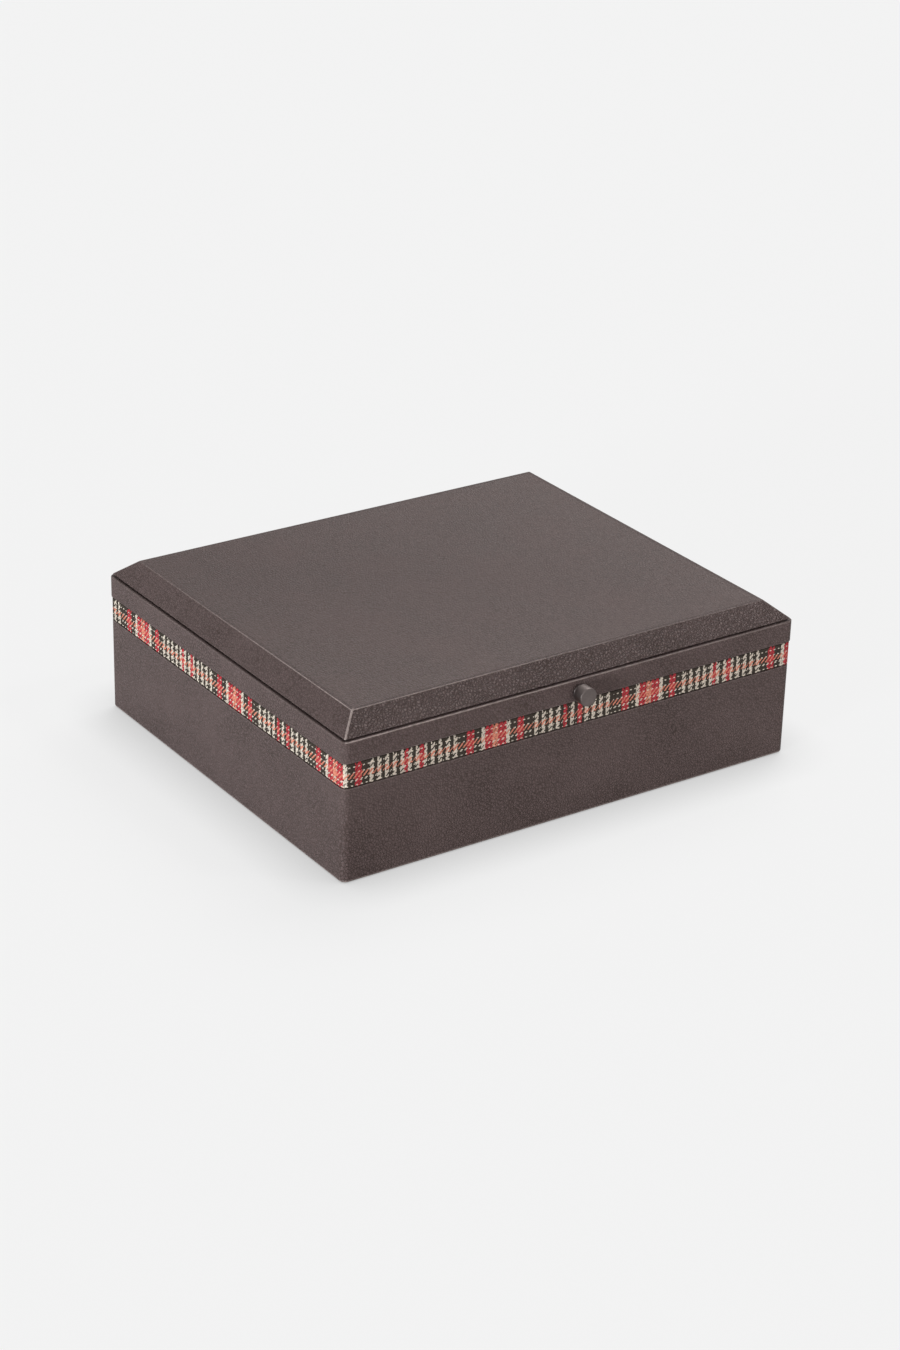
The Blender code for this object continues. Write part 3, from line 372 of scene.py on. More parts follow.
def tweed_finish(cloth):
    """Twill check in two-ply yarn, its threads counted on the piece's own UV map."""
    recipe = Recipe("tweed_check", {"Roughness": 0.92, "Specular IOR Level": 0.25,
                                    "Sheen Weight": 0.05, "Sheen Roughness": 0.6})
    threads = recipe.add("ShaderNodeUVMap", uv_map="threads").outputs[0]
    wander = recipe.vector("SUBTRACT", recipe.noise(threads, 0.9, output="Color"), (0.5, 0.5, 0.5))
    loose = recipe.vector("ADD", threads, recipe.vector("SCALE", wander, 1.1))
    split = recipe.add("ShaderNodeSeparateXYZ", {0: loose})
    along, down = split.outputs[0], split.outputs[1]
    warp, weft = recipe.math("FLOOR", along), recipe.math("FLOOR", down)
    step = recipe.math("FLOORED_MODULO", recipe.math("ADD", warp, weft), TWILL_STEPS)
    cream, dark = solid(cloth.cream), solid(cloth.dark)
    beat = recipe.math("FLOORED_MODULO", warp, CHECK_REPEAT)
    beat = recipe.math("GREATER_THAN", beat, CHECK_DARK - 0.5)
    plain = recipe.mix(beat, dark, cream)
    share = recipe.math("DIVIDE", recipe.math("FLOORED_MODULO", warp, WARP_REPEAT), WARP_REPEAT)
    share = recipe.math("ADD", share, 0.5 / WARP_REPEAT)
    band, cover = stripes(recipe, share, WARP_STRIPES, WARP_REPEAT, cloth)
    warp_tone = recipe.mix(cover, plain, band)
    share = recipe.math("DIVIDE", recipe.math("ADD", weft, 0.5), cloth.picks)
    pick, coloured = stripes(recipe, share, WEFT_STRIPES, cloth.picks, cloth)
    weft_tone = recipe.mix(coloured, dark, pick)
    loose_ends = recipe.math("MULTIPLY", beat, recipe.math("SUBTRACT", 1.0, cover))
    crossed = recipe.math("MULTIPLY", coloured, recipe.math("ADD", cover, loose_ends))
    float_length = recipe.math("SUBTRACT", WARP_FLOAT - 0.5, crossed)
    float_length = recipe.math("SUBTRACT", float_length, loose_ends)
    warp_on_top = recipe.math("LESS_THAN", step, float_length)
    tone = recipe.mix(warp_on_top, weft_tone, warp_tone)
    fleck = recipe.noise(threads, 0.62, 4.0, 0.75)
    shade = recipe.spread(fleck, 0.30, 0.70, 0.38, 1.35)
    tone = recipe.add("ShaderNodeHueSaturation", {"Color": tone, "Saturation": 0.96,
                                                  "Value": shade}).outputs[0]
    fuzz = recipe.noise(threads, 9.0, 3.0, 0.7)
    haze = recipe.spread(recipe.noise(threads, 5.0), 0.55, 0.75, 0.0, 0.05)
    tone = recipe.mix(haze, tone, cream)
    twist = recipe.math("MULTIPLY", recipe.math("ADD", along, down), math.tau * 1.5)
    twist = recipe.math("SINE", twist)
    height = recipe.math("MULTIPLY_ADD", twist, 0.25, fuzz)
    return recipe.finish(tone, None, recipe.bump(height, 0.05 * MM, 0.9))


def cedar_finish(timber, name, axis, shift):
    """Spanish cedar, its grain running along an axis, open-pored and unvarnished."""
    recipe = Recipe(name, {"Roughness": 0.6, "Specular IOR Level": 0.35})
    scale = [1.0, 1.0, 1.0]
    scale[axis] = GRAIN_STRETCH
    place = recipe.place(scale, shift)
    bend = recipe.math("MULTIPLY", recipe.noise(place, 26.0), 12.0)
    feeds = {"Vector": place, "Scale": 60.0, "Distortion": 6.0, "Detail": 2.0,
             "Detail Scale": 0.6, "Phase Offset": bend}
    rings = recipe.add("ShaderNodeTexWave", feeds, wave_type="BANDS",
                       bands_direction="DIAGONAL").outputs["Fac"]
    fibres = recipe.noise(place, 900.0, 3.0, 0.6)
    pores = recipe.noise(place, 2600.0, 1.0)
    share = recipe.math("MULTIPLY_ADD", fibres, 0.45, recipe.math("MULTIPLY", rings, 0.5))
    late = solid(timber.cedar_dark)
    tone = recipe.mix(recipe.spread(share, 0.15, 0.75, 0.20, 0.85), late, solid(timber.cedar))
    tone = recipe.mix(recipe.spread(pores, 0.62, 0.72, 0.0, 0.6), tone, late)
    height = recipe.math("MULTIPLY_ADD", pores, -0.5, fibres)
    return recipe.finish(tone, recipe.spread(fibres, 0.3, 0.7, 0.52, 0.68),
                         recipe.bump(height, 0.05 * MM, 0.6))


def board_finish(timber):
    """Fibreboard: fine pale fibres in a brown ground."""
    recipe = Recipe("fibreboard", {"Roughness": 0.85, "Specular IOR Level": 0.25})
    place = recipe.place()
    fibres = recipe.noise(place, 1500.0, 4.0, 0.75)
    clouds = recipe.noise(place, 60.0)
    pale = tuple(min(1.0, channel * 1.35) for channel in timber.board)
    deep = tuple(channel * 0.72 for channel in timber.board)
    tone = recipe.mix(recipe.spread(fibres, 0.35, 0.65), solid(deep), solid(pale))
    tone = recipe.mix(recipe.spread(clouds, 0.4, 0.7, 0.0, 0.4), tone, solid(timber.board))
    return recipe.finish(tone, None, recipe.bump(fibres, 0.04 * MM, 0.6))


def metal_finish(name, tone, roughness, brush_axis=None, tarnish=0.25):
    """Metal with fine brushing along an axis, or none, and a little tarnish."""
    recipe = Recipe(name, {"Metallic": 1.0})
    scale = [1.0, 1.0, 1.0]
    if brush_axis is not None:
        scale[brush_axis] = BRUSH_STRETCH
    lines = recipe.noise(recipe.place(scale), 4000.0)
    clouds = recipe.noise(recipe.place(), 180.0, 3.0, 0.6)
    dull = tuple(channel * 0.55 for channel in tone)
    colour = recipe.mix(recipe.spread(clouds, 0.40, 0.75, 0.0, tarnish * 2.0), solid(tone),
                        solid(dull))
    share = recipe.math("MULTIPLY_ADD", clouds, 0.5, recipe.math("MULTIPLY", lines, 0.5))
    rough = recipe.spread(share, 0.35, 0.65, roughness * 0.8, roughness * 1.25)
    return recipe.finish(colour, rough, recipe.bump(lines, 0.006 * MM, 0.5))


def speckled_finish(name, tone, fleck_tone, scale, roughness, depth, shine=0.4):
    """A matt surface with flecks, for felt, foam, plastic, print and enamel."""
    recipe = Recipe(name, {"Roughness": roughness, "Specular IOR Level": shine})
    place = recipe.place()
    flecks = recipe.noise(place, scale, 3.0, 0.65)
    colour = recipe.mix(recipe.spread(flecks, 0.40, 0.66), solid(tone), solid(fleck_tone))
    return recipe.finish(colour, None, recipe.bump(flecks, depth, 0.8))


def glass_finish():
    """Clear glass with faint smears in its polish."""
    recipe = Recipe("dial_glass", {"IOR": 1.45, "Transmission Weight": 1.0})
    smears = recipe.noise(recipe.place(), 240.0, 3.0)
    return recipe.finish((0.96, 0.98, 0.98, 1.0), recipe.spread(smears, 0.4, 0.7, 0.02, 0.07))


def settle(name, shape):
    """Turn a bmesh into a mesh and free it."""
    mesh = bpy.data.meshes.new(name)
    shape.to_mesh(mesh)
    shape.free()
    return mesh


def bring_in(name, data):
    """A new object in the scene, at the origin."""
    item = bpy.data.objects.new(name, data)
    bpy.context.scene.collection.objects.link(item)
    return item


def add_piece(name, shape, material, body, replaced=(), sharp=SHARP_ANGLE):
    """A finished object from a bmesh, riding on a body and standing for CAD nodes."""
    bmesh.ops.recalc_face_normals(shape, faces=shape.faces)
    mesh = settle(name, shape)
    mesh.materials.append(material)
    mesh.shade_smooth()
    mesh.set_sharp_from_angle(angle=sharp)
    piece = bring_in(name, mesh)
    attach(piece, body)
    if replaced:
        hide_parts(*replaced)


def dress(material, *nodes):
    """Give CAD nodes a finished material in their slots."""
    for name in nodes:
        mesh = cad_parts[name].data
        for index in range(len(mesh.materials)):
            mesh.materials[index] = material


def outline(half_x, half_y, radius):
    """(x, y, corner) points of a rounded rectangle, anticlockwise from its front right corner."""
    points = []
    for quarter, (side_x, side_y) in enumerate(((1, -1), (1, 1), (-1, 1), (-1, -1))):
        middle = Vector((side_x * (half_x - radius), side_y * (half_y - radius)))
        turn = math.pi / 2 * (quarter - 1)
        arrive = Vector((-math.sin(turn), math.cos(turn)))
        leave = Vector((-arrive.y, arrive.x))
        arc = []
        for step in range(CORNER_STEPS + 1):
            angle = turn + math.pi / 2 * step / CORNER_STEPS
            arc.append(middle + radius * Vector((math.cos(angle), math.sin(angle))))
        points.append((*(arc[0] - arrive * SUPPORT), 0.0))
        points.extend((*point, 1.0) for point in arc)
        points.append((*(arc[-1] + leave * SUPPORT), 0.0))
    return points


def rounded_section(corners):
    """(inset, height, wear and painted highlight) points of a section, from its corners: (inset,
    height), with a radius and a share of wear and painted highlight where the corner is rounded."""
    points = []
    for index, corner in enumerate(corners):
        inset, height, radius, wear = (*corner, 0.0, 0.0)[:4]
        here = Vector((inset, height))
        if radius <= 0.0:
            points.append((inset, height, wear))
            continue
        back = (Vector(corners[index - 1][:2]) - here).normalized()
        onward = (Vector(corners[(index + 1) % len(corners)][:2]) - here).normalized()
        half = back.angle(onward) / 2
        reach = radius / math.tan(half)
        centre = here + (back + onward).normalized() * radius / math.sin(half)
        start, end = here + back * reach - centre, here + onward * reach - centre
        first = math.atan2(start.y, start.x)
        sweep = math.atan2(end.y, end.x) - first
        sweep = (sweep + math.pi) % math.tau - math.pi
        points.append((*(centre + start + back * SUPPORT), 0.0))
        for step in range(ARC_STEPS + 1):
            angle = first + sweep * step / ARC_STEPS
            points.append((centre.x + radius * math.cos(angle),
                           centre.y + radius * math.sin(angle), wear))
        points.append((*(centre + end + onward * SUPPORT), 0.0))
    return points


def sweep_ring(section, half_x, half_y, closed=True, radius=CORNER_RADIUS, least_radius=0.3 * MM,
               corner_wear_and_highlight=0.0, stations=(), step_height=None):
    """A skin swept round the box: a section's points carried along a rounded rectangle.

    An open section has its two ends filled. Stations are places along the back side, from right
    to left, where step_height(x, height) may move the skin up or down."""
    shape = bmesh.new()
    wear_and_highlight_layer = shape.verts.layers.float.new("wear")
    back_start = 2 * (CORNER_STEPS + 3)
    bmesh.ops.create_circle(shape, segments=2 * back_start + len(stations), radius=half_x)

    def lay(ring, inset, height, wear):
        points = outline(half_x - inset, half_y - inset, max(radius - inset, least_radius))
        points[back_start:back_start] = [(x, half_y - inset, 0.0) for x in stations]
        for index, (vertex, (x, y, corner)) in enumerate(zip(ring, points)):
            level = height
            if back_start <= index < back_start + len(stations):
                level = step_height(x, height)
            vertex.co = (x, y, level)
            # Each vertex carries its share of wear and painted highlight, from the section or from
            # the rounded corner
            vertex[wear_and_highlight_layer] = max(wear, corner * corner_wear_and_highlight)

    ring = list(shape.verts)
    edges = list(shape.edges)
    ends = list(edges)
    lay(ring, *section[0])
    for point in section[1:]:
        grown = bmesh.ops.extrude_edge_only(shape, edges=edges)["geom"]
        copies = {tuple(item.co): item for item in grown if isinstance(item, bmesh.types.BMVert)}
        ring = [copies[tuple(vertex.co)] for vertex in ring]
        lay(ring, *point)
        fresh = set(ring)
        edges = [item for item in grown if isinstance(item, bmesh.types.BMEdge)
                 and item.verts[0] in fresh and item.verts[1] in fresh]
    if closed:
        bmesh.ops.bridge_loops(shape, edges=ends + edges)
    else:
        for loop in (ends, edges):
            bmesh.ops.contextual_create(shape, geom=loop)
    return shape


def hinge_stations():
    """Places along the back, from right to left, where room for a hinge leaf starts and ends."""
    places = []
    for middle in (HINGE_X, -HINGE_X):
        places += [middle + HINGE_ROOM + HAIR, middle + HINGE_ROOM,
                   middle - HINGE_ROOM, middle - HINGE_ROOM - HAIR]
    return places


def in_hinge_room(x):
    """True where a hinge leaf passes."""
    return abs(abs(x) - HINGE_X) < HINGE_ROOM + HAIR / 2


def soften(shape, width):
    """Round every edge of a bmesh a little."""
    bmesh.ops.bevel(shape, geom=list(shape.edges), offset=width, segments=2, profile=0.5,
                    affect="EDGES", material=-1)


def flat_strip(shape, corners, bottom, top):
    """Add a flat strip with softened edges to a bmesh, from its corners in plan."""
    part = bmesh.new()
    face = part.faces.new([part.verts.new((x, y, bottom)) for x, y in corners])
    grown = bmesh.ops.extrude_face_region(part, geom=[face])["geom"]
    for item in grown:
        if isinstance(item, bmesh.types.BMVert):
            item.co.z = top
    soften(part, STRIP_EDGE)
    join(shape, part)


def join(shape, part, matrix=None):
    """Add one bmesh to another, moved by a matrix, and free it."""
    if matrix is not None:
        bmesh.ops.transform(part, matrix=matrix, verts=part.verts)
    holder = settle("holder", part)
    shape.from_mesh(holder)
    bpy.data.meshes.remove(holder)


def mitred_frame(outer, inner, bottom, top):
    """Mitred strips that lie flat on the rim, parted at the back for the hinge leaves."""
    shape = bmesh.new()
    gap = SEAM_GAP
    (ox, oy), (ix, iy) = outer, inner
    start, end = HINGE_X + HINGE_ROOM, HINGE_X - HINGE_ROOM
    strips = [((-ox + gap, -oy), (ox - gap, -oy), (ix - gap, -iy), (-ix + gap, -iy))]
    for side in (-1, 1):
        strips.append(((side * ox, -oy + gap), (side * ox, oy - gap), (side * ix, iy - gap),
                       (side * ix, -iy + gap)))
        strips.append(((side * start, oy), (side * (ox - gap), oy), (side * (ix - gap), iy),
                       (side * start, iy)))
    strips.append(((-end, oy), (end, oy), (end, iy), (-end, iy)))
    for corners in strips:
        flat_strip(shape, corners, bottom, top)
    return shape


def turn_profile(profile, steps, matrix):
    """A closed body turned round Z, from (radius, height) points that start and end on Z."""
    shape = bmesh.new()
    verts = [shape.verts.new((radius, 0.0, height)) for radius, height in profile]
    edges = [shape.edges.new(pair) for pair in zip(verts, verts[1:])]
    bmesh.ops.spin(shape, geom=verts + edges, cent=(0.0, 0.0, 0.0), axis=(0.0, 0.0, 1.0),
                   angle=math.tau, steps=steps, use_merge=True)
    bmesh.ops.remove_doubles(shape, verts=shape.verts, dist=WELD)
    bmesh.ops.transform(shape, matrix=matrix, verts=shape.verts)
    return shape


def arc_points(centre, radius, start, end, steps=5):
    """Points along an arc, in degrees."""
    points = []
    for step in range(steps + 1):
        angle = math.radians(start + (end - start) * step / steps)
        points.append((centre[0] + radius * math.cos(angle), centre[1] + radius * math.sin(angle)))
    return points


class HUMIDOR_OT_case_leather(bpy.types.Operator):
    """Wrap the lower case in leather that turns in under the base"""
    bl_idname = "humidor.case_leather"
    bl_label = "Case leather"

    def execute(self, context):
        skin = leather_finish(context.scene.humidor_leather)
        low, high = CASE_LOW.z, CASE_HIGH.z
        # The corners' last numbers are wear and painted highlight: on the foot edge, and faintly on
        # the top edge
        section = rounded_section((
            (0.0, low, FOOT_EDGE, 0.5), (0.0, high, RIM_EDGE, 0.15), (LEATHER, high),
            (LEATHER, low + LEATHER), (TURN_IN, low + LEATHER), (TURN_IN, low)))
        shape = sweep_ring(section, CASE_HIGH.x, CASE_HIGH.y)
        add_piece("case_leather_skin", shape, skin, "case", ["case_leather"])
        shape = mitred_frame(TRIM_HIGH.xy, WELL, TRIM_LOW.z, TRIM_HIGH.z)
        add_piece("case_rim_binding", shape, skin, "case", ["case_rim_trim"])
        return {"FINISHED"}


class HUMIDOR_OT_lid_leather(bpy.types.Operator):
    """Wrap the lid's rim and its bevelled panel in leather"""
    bl_idname = "humidor.lid_leather"
    bl_label = "Lid leather"

    def execute(self, context):
        skin = bpy.data.materials["pebbled_leather"]
        low, high = RIM_LOW.z, RIM_HIGH.z
        half_x, half_y = RIM_HIGH.x, RIM_HIGH.y
        reach = half_x - LID_WELL.x
        room_top = low + HINGE_DEPTH

        def make_room(x, height):
            if in_hinge_room(x) and height < room_top:
                return room_top + (height - low) * SQUEEZE
            return height

        # The corners' last numbers are wear and painted highlight, strongest on the rim's top outer
        # edge
        section = rounded_section((
            (0.0, low, RIM_FOOT_EDGE, 0.1), (0.0, high, RIM_EDGE, 1.0), (reach, high),
            (reach, high - LEATHER), (LEATHER, high - LEATHER), (LEATHER, low)))
        shape = sweep_ring(section, half_x, half_y, stations=hinge_stations(),
                           step_height=make_room)
        self.rub_front(shape, HIGHLIT_EDGE - half_y)
        add_piece("lid_rim_skin", shape, skin, "lid", ["lid_rim_leather"])
        outer = (half_x - LEATHER - SEAM_GAP, half_y - LEATHER - SEAM_GAP)
        shape = mitred_frame(outer, LID_WELL, low, low + TRIM)
        add_piece("lid_rim_turn_in", shape, skin, "lid", ["lid_rim_leather"])

        low, high = PANEL_LOW.z, PANEL_HIGH.z
        slope = CHAMFER_RUN / (high - low)
        inner_top = high - LEATHER
        inner_foot = LEDGE + LEATHER * math.hypot(1.0, slope)
        ridge = LEDGE + CHAMFER_RUN
        # The toe of the bevel stands over a groove, which draws a dark line along the ledge
        groove, groove_top, toe, toe_edge = 0.3 * MM, 0.35 * MM, 0.5 * MM, 0.18 * MM
        ridge_edge, top_run = 0.5 * MM, 2.0 * MM
        section = rounded_section((
            (inner_foot + slope * (inner_top - low), inner_top), (inner_foot, low),
            (LEDGE + groove, low), (LEDGE + groove, low + groove_top),
            (LEDGE - toe, low + toe, toe_edge, 0.1), (ridge, high, ridge_edge, 1.0),
            (ridge + top_run, high)))
        # Wear and painted highlight along the ridge and down the bevel's corners
        shape = sweep_ring(section, half_x, half_y, closed=False, radius=0.0, least_radius=0.6 * MM,
                           corner_wear_and_highlight=0.9)
        self.rub_front(shape, ridge + HIGHLIT_EDGE - half_y)
        self.stretch_front(shape)
        add_piece("lid_panel_skin", shape, skin, "lid", ["lid_panel_leather"])
        return {"FINISHED"}

    def stretch_front(self, shape):
        """Mark the front bevel, where the grain's relief is deeper and its pebble crowns get
        painted glints.
        """
        stretched = shape.verts.layers.float.new("stretched")
        foremost = {}
        for vertex in shape.verts:
            level = round(vertex.co.z / HAIR)
            foremost[level] = min(foremost.get(level, vertex.co.y), vertex.co.y)
        for vertex in shape.verts:
            vertex[stretched] = float(vertex.co.y < foremost[round(vertex.co.z / HAIR)] + HAIR)

    def rub_front(self, shape, line):
        """Keep the wear and painted highlight on the front edge, most on its left, and fade it
        behind a line.
        """
        wear = shape.verts.layers.float["wear"]
        for vertex in shape.verts:
            if vertex.co.y > line:
                vertex[wear] *= HIGHLIGHT_BEHIND
            elif vertex.co.x > 0.0:
                vertex[wear] *= HIGHLIGHT_RIGHT


def along_band(distance):
    """The point and outward direction at a distance along the band, from the front left corner's
    end, anticlockwise seen from above."""
    half_x, half_y = BAND_HIGH.x, BAND_HIGH.y
    radius = CORNER_RADIUS
    straights = (2 * (half_x - radius), 2 * (half_y - radius)) * 2
    arc = radius * math.pi / 2
    starts = ((-half_x + radius, -half_y), (half_x, -half_y + radius), (half_x - radius, half_y),
              (-half_x, half_y - radius))
    distance = distance % (sum(straights) + 4 * arc)
    for side, length in enumerate(straights):
        turn = math.pi / 2 * side
        way = Vector((math.cos(turn), math.sin(turn)))
        out = Vector((way.y, -way.x))
        start = Vector(starts[side])
        if distance <= length:
            return start + way * distance, out
        distance -= length
        if distance <= arc:
            middle = start + way * length - out * radius
            swing = distance / radius
            spoke = out * math.cos(swing) + way * math.sin(swing)
            return middle + spoke * radius, spoke
        distance -= arc
    raise ValueError("distance along the band")


def band_length():
    """Length once round the band."""
    return 4 * (BAND_HIGH.x + BAND_HIGH.y) - 8 * CORNER_RADIUS + math.tau * CORNER_RADIUS


def thread_height(column, row):
    """Height of the weave at half-thread steps along and down: 1 is the top of a float."""
    def is_striped(threads, number):
        return [yarn is not None for start, yarn in threads if start <= number][-1]

    def warp_up(i, j):
        striped = is_striped(WARP_STRIPES, i % WARP_REPEAT)
        loose = not striped and i % CHECK_REPEAT >= CHECK_DARK
        crossed = is_striped(WEFT_STRIPES, max(j, 0)) and (striped or loose)
        return (i + j) % TWILL_STEPS < WARP_FLOAT - loose - crossed

    pit, step, middle, crown = -1.0, -0.4, 0.6, 1.0
    i, j = column // 2, row // 2
    if column % 2 and row % 2:
        return middle
    if column % 2:
        return (pit, step, crown)[warp_up(i, j - 1) + warp_up(i, j)]
    if row % 2:
        return (crown, step, pit)[warp_up(i - 1, j) + warp_up(i, j)]
    return pit


class HUMIDOR_OT_tweed_band(bpy.types.Operator):
    """Weave the tweed band round the top of the case"""
    bl_idname = "humidor.tweed_band"
    bl_label = "Tweed band"

    def execute(self, context):
        cloth = context.scene.humidor_tweed
        finish = tweed_finish(cloth)
        pitch = band_length() / cloth.threads
        first_red = FIRST_RED - CORNER_RADIUS
        bend = CORNER_RADIUS * math.pi / 4
        front = 2 * (BAND_HIGH.x - CORNER_RADIUS)
        side = 2 * (BAND_HIGH.y - CORNER_RADIUS)
        marks = (-bend, front + bend, front + side + 3 * bend, front * 1.5 + side + 4 * bend,
                 front * 2 + side + 5 * bend)
        starts = [round((mark - first_red) / pitch) for mark in marks]
        starts.append(starts[0] + cloth.threads)
        names = ("tweed_front", "tweed_right", "tweed_back_right", "tweed_back_left", "tweed_left")
        for index, name in enumerate(names):
            turned_back = cloth.threads if index > 2 else 0
            shape = self.weave(cloth, starts[index], starts[index + 1], pitch, first_red,
                               turned_back)
            add_piece(name, shape, finish, "case", ["tweed_band"], WEAVE_SHARP_ANGLE)
        return {"FINISHED"}

    def weave(self, cloth, first, last, pitch, first_red, turned_back):
        """One closed strip of the band between two warp threads."""
        columns = 2 * (last - first)
        face_rows = 2 * cloth.picks
        rows = face_rows + 3
        low, high = BAND_LOW.z, BAND_HIGH.z
        shape = bmesh.new()
        threads = shape.loops.layers.uv.new("threads")
        places = {}
        seam = []
        bmesh.ops.create_grid(shape, x_segments=columns, y_segments=rows, size=1.0)
        for vertex in shape.verts:
            column = round((vertex.co.x + 1.0) / 2 * columns) + 2 * first
            row = round((1.0 - vertex.co.y) / 2 * rows)
            spot, out = along_band(column / 2 * pitch + first_red)
            if row <= face_rows:
                height = high - (high - low) * row / face_rows
                edge = min(height - low, high - height)
                inset = 0.0
                if edge < LIP:
                    inset = LIP * (1.0 - math.sqrt(1.0 - (1.0 - edge / LIP) ** 2))
                inset += cloth.relief * (1.0 - thread_height(column, row))
            else:
                height = low if row == face_rows + 1 else high
                inset = LEATHER
                if row == rows:
                    height, inset = high, LIP + cloth.relief * (1.0 - thread_height(column, 0))
            x, y = spot - out * inset
            if y > 0.0 and in_hinge_room(x) and abs(out.y) > 0.9:
                height = low + (height - low) * (1.0 - HINGE_DEPTH / (high - low))
            vertex.co = (x, y, height)
            places[vertex] = (column / 2 - turned_back, min(row, face_rows) / 2)
            if row in (0, rows):
                seam.append(vertex)
        for face in shape.faces:
            for loop in face.loops:
                loop[threads].uv = places[loop.vert]
        bmesh.ops.remove_doubles(shape, verts=seam, dist=WELD)
        ends = [edge for edge in shape.edges if edge.is_boundary]
        bmesh.ops.holes_fill(shape, edges=ends, sides=0)
        return shape


class HUMIDOR_OT_pull_knob(bpy.types.Operator):
    """Turn the pull knob on the lid's front"""
    bl_idname = "humidor.pull_knob"
    bl_label = "Pull knob"

    def execute(self, context):
        metal = context.scene.humidor_metal
        finish = metal_finish("gunmetal_satin", metal.gunmetal, roughness=0.45)
        radius = (KNOB_HIGH.x - KNOB_LOW.x) / 2
        length = KNOB_HIGH.y - KNOB_LOW.y
        neck, foot, fillet = 3.2 * MM, 0.15 * MM, 0.5 * MM
        bore, bore_end = 1.65 * MM, 5.5 * MM
        back, edge = 1.6 * MM, 0.35 * MM
        rim, dish_edge, dish = 1.0 * MM, 1.3 * MM, 0.05 * MM
        profile = [(0.0, bore_end), (bore, bore_end), (bore, 0.0), (neck + fillet, 0.0),
                   (neck + fillet, foot)]
        profile += arc_points((neck + fillet, foot + fillet), fillet, 270.0, 180.0)
        profile += [(neck, back), (radius - edge, back)]
        profile += arc_points((radius - edge, back + edge), edge, -90.0, 0.0)
        profile += arc_points((radius - edge, length - edge), edge, 0.0, 90.0)
        profile += [(radius - rim, length), (radius - dish_edge, length - dish),
                    (0.0, length - dish)]
        place = Matrix.Translation((0.0, KNOB_HIGH.y, (KNOB_LOW.z + KNOB_HIGH.z) / 2))
        shape = turn_profile(profile, KNOB_STEPS, place @ Matrix.Rotation(math.pi / 2, 4, "X"))
        add_piece("pull_knob_turned", shape, finish, "lid", ["pull_knob"])
        return {"FINISHED"}


class HUMIDOR_OT_woodwork(bpy.types.Operator):
    """Grain the cedar lining, the rails and the divider, and finish the boards"""
    bl_idname = "humidor.woodwork"
    bl_label = "Cedar and boards"

    def execute(self, context):
        timber = context.scene.humidor_timber
        lengthwise = ("cedar_floor", "cedar_front", "cedar_back", "lid_front_rail", "lid_back_rail",
                      "lid_cedar_ceiling")
        crosswise = ("cedar_left", "cedar_right", "lid_left_rail", "lid_right_rail", "divider")
        for axis, names in enumerate((lengthwise, crosswise)):
            for number, name in enumerate(names):
                shift = (0.31 * number + 0.17 * axis, 0.23 * number, 0.11 * number)
                dress(cedar_finish(timber, f"cedar_{axis}_{number}", axis, shift), name)
        dress(board_finish(timber), "base_board", "front_board", "back_board", "left_board",
              "right_board", "lid_panel_board")
        return {"FINISHED"}


class HUMIDOR_OT_hardware(bpy.types.Operator):
    """Finish the hinges, the screws, the magnets and the steel plate"""
    bl_idname = "humidor.hardware"
    bl_label = "Hinges and screws"

    def execute(self, context):
        metal = context.scene.humidor_metal
        brass = metal_finish("satin_brass", metal.brass, roughness=0.30, brush_axis=0)
        steel = metal_finish("plated_steel", metal.steel, roughness=0.32)
        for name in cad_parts:
            if name.startswith("hinge_"):
                dress(brass, name)
        dress(brass, "humidifier_plate_screw_1", "humidifier_plate_screw_2")
        dress(steel, "knob_screw", "humidifier_plate", "humidifier_magnet_left",
              "humidifier_magnet_right")
        return {"FINISHED"}


def printed_text(words, size):
    """Words as a closed mesh of ink, centred on the origin and facing up Z."""
    curve = bpy.data.curves.new("print", "FONT")
    curve.body = words
    curve.size = size
    curve.align_x = "CENTER"
    curve.align_y = "CENTER"
    curve.extrude = INK / 2
    holder = bring_in("print", curve)
    bpy.context.view_layer.update()
    graph = bpy.context.evaluated_depsgraph_get()
    mesh = bpy.data.meshes.new_from_object(holder.evaluated_get(graph))
    shape = bmesh.new()
    shape.from_mesh(mesh)
    bmesh.ops.remove_doubles(shape, verts=shape.verts, dist=WELD / 2)
    bpy.data.meshes.remove(mesh)
    bpy.data.objects.remove(holder)
    bpy.data.curves.remove(curve)
    return shape


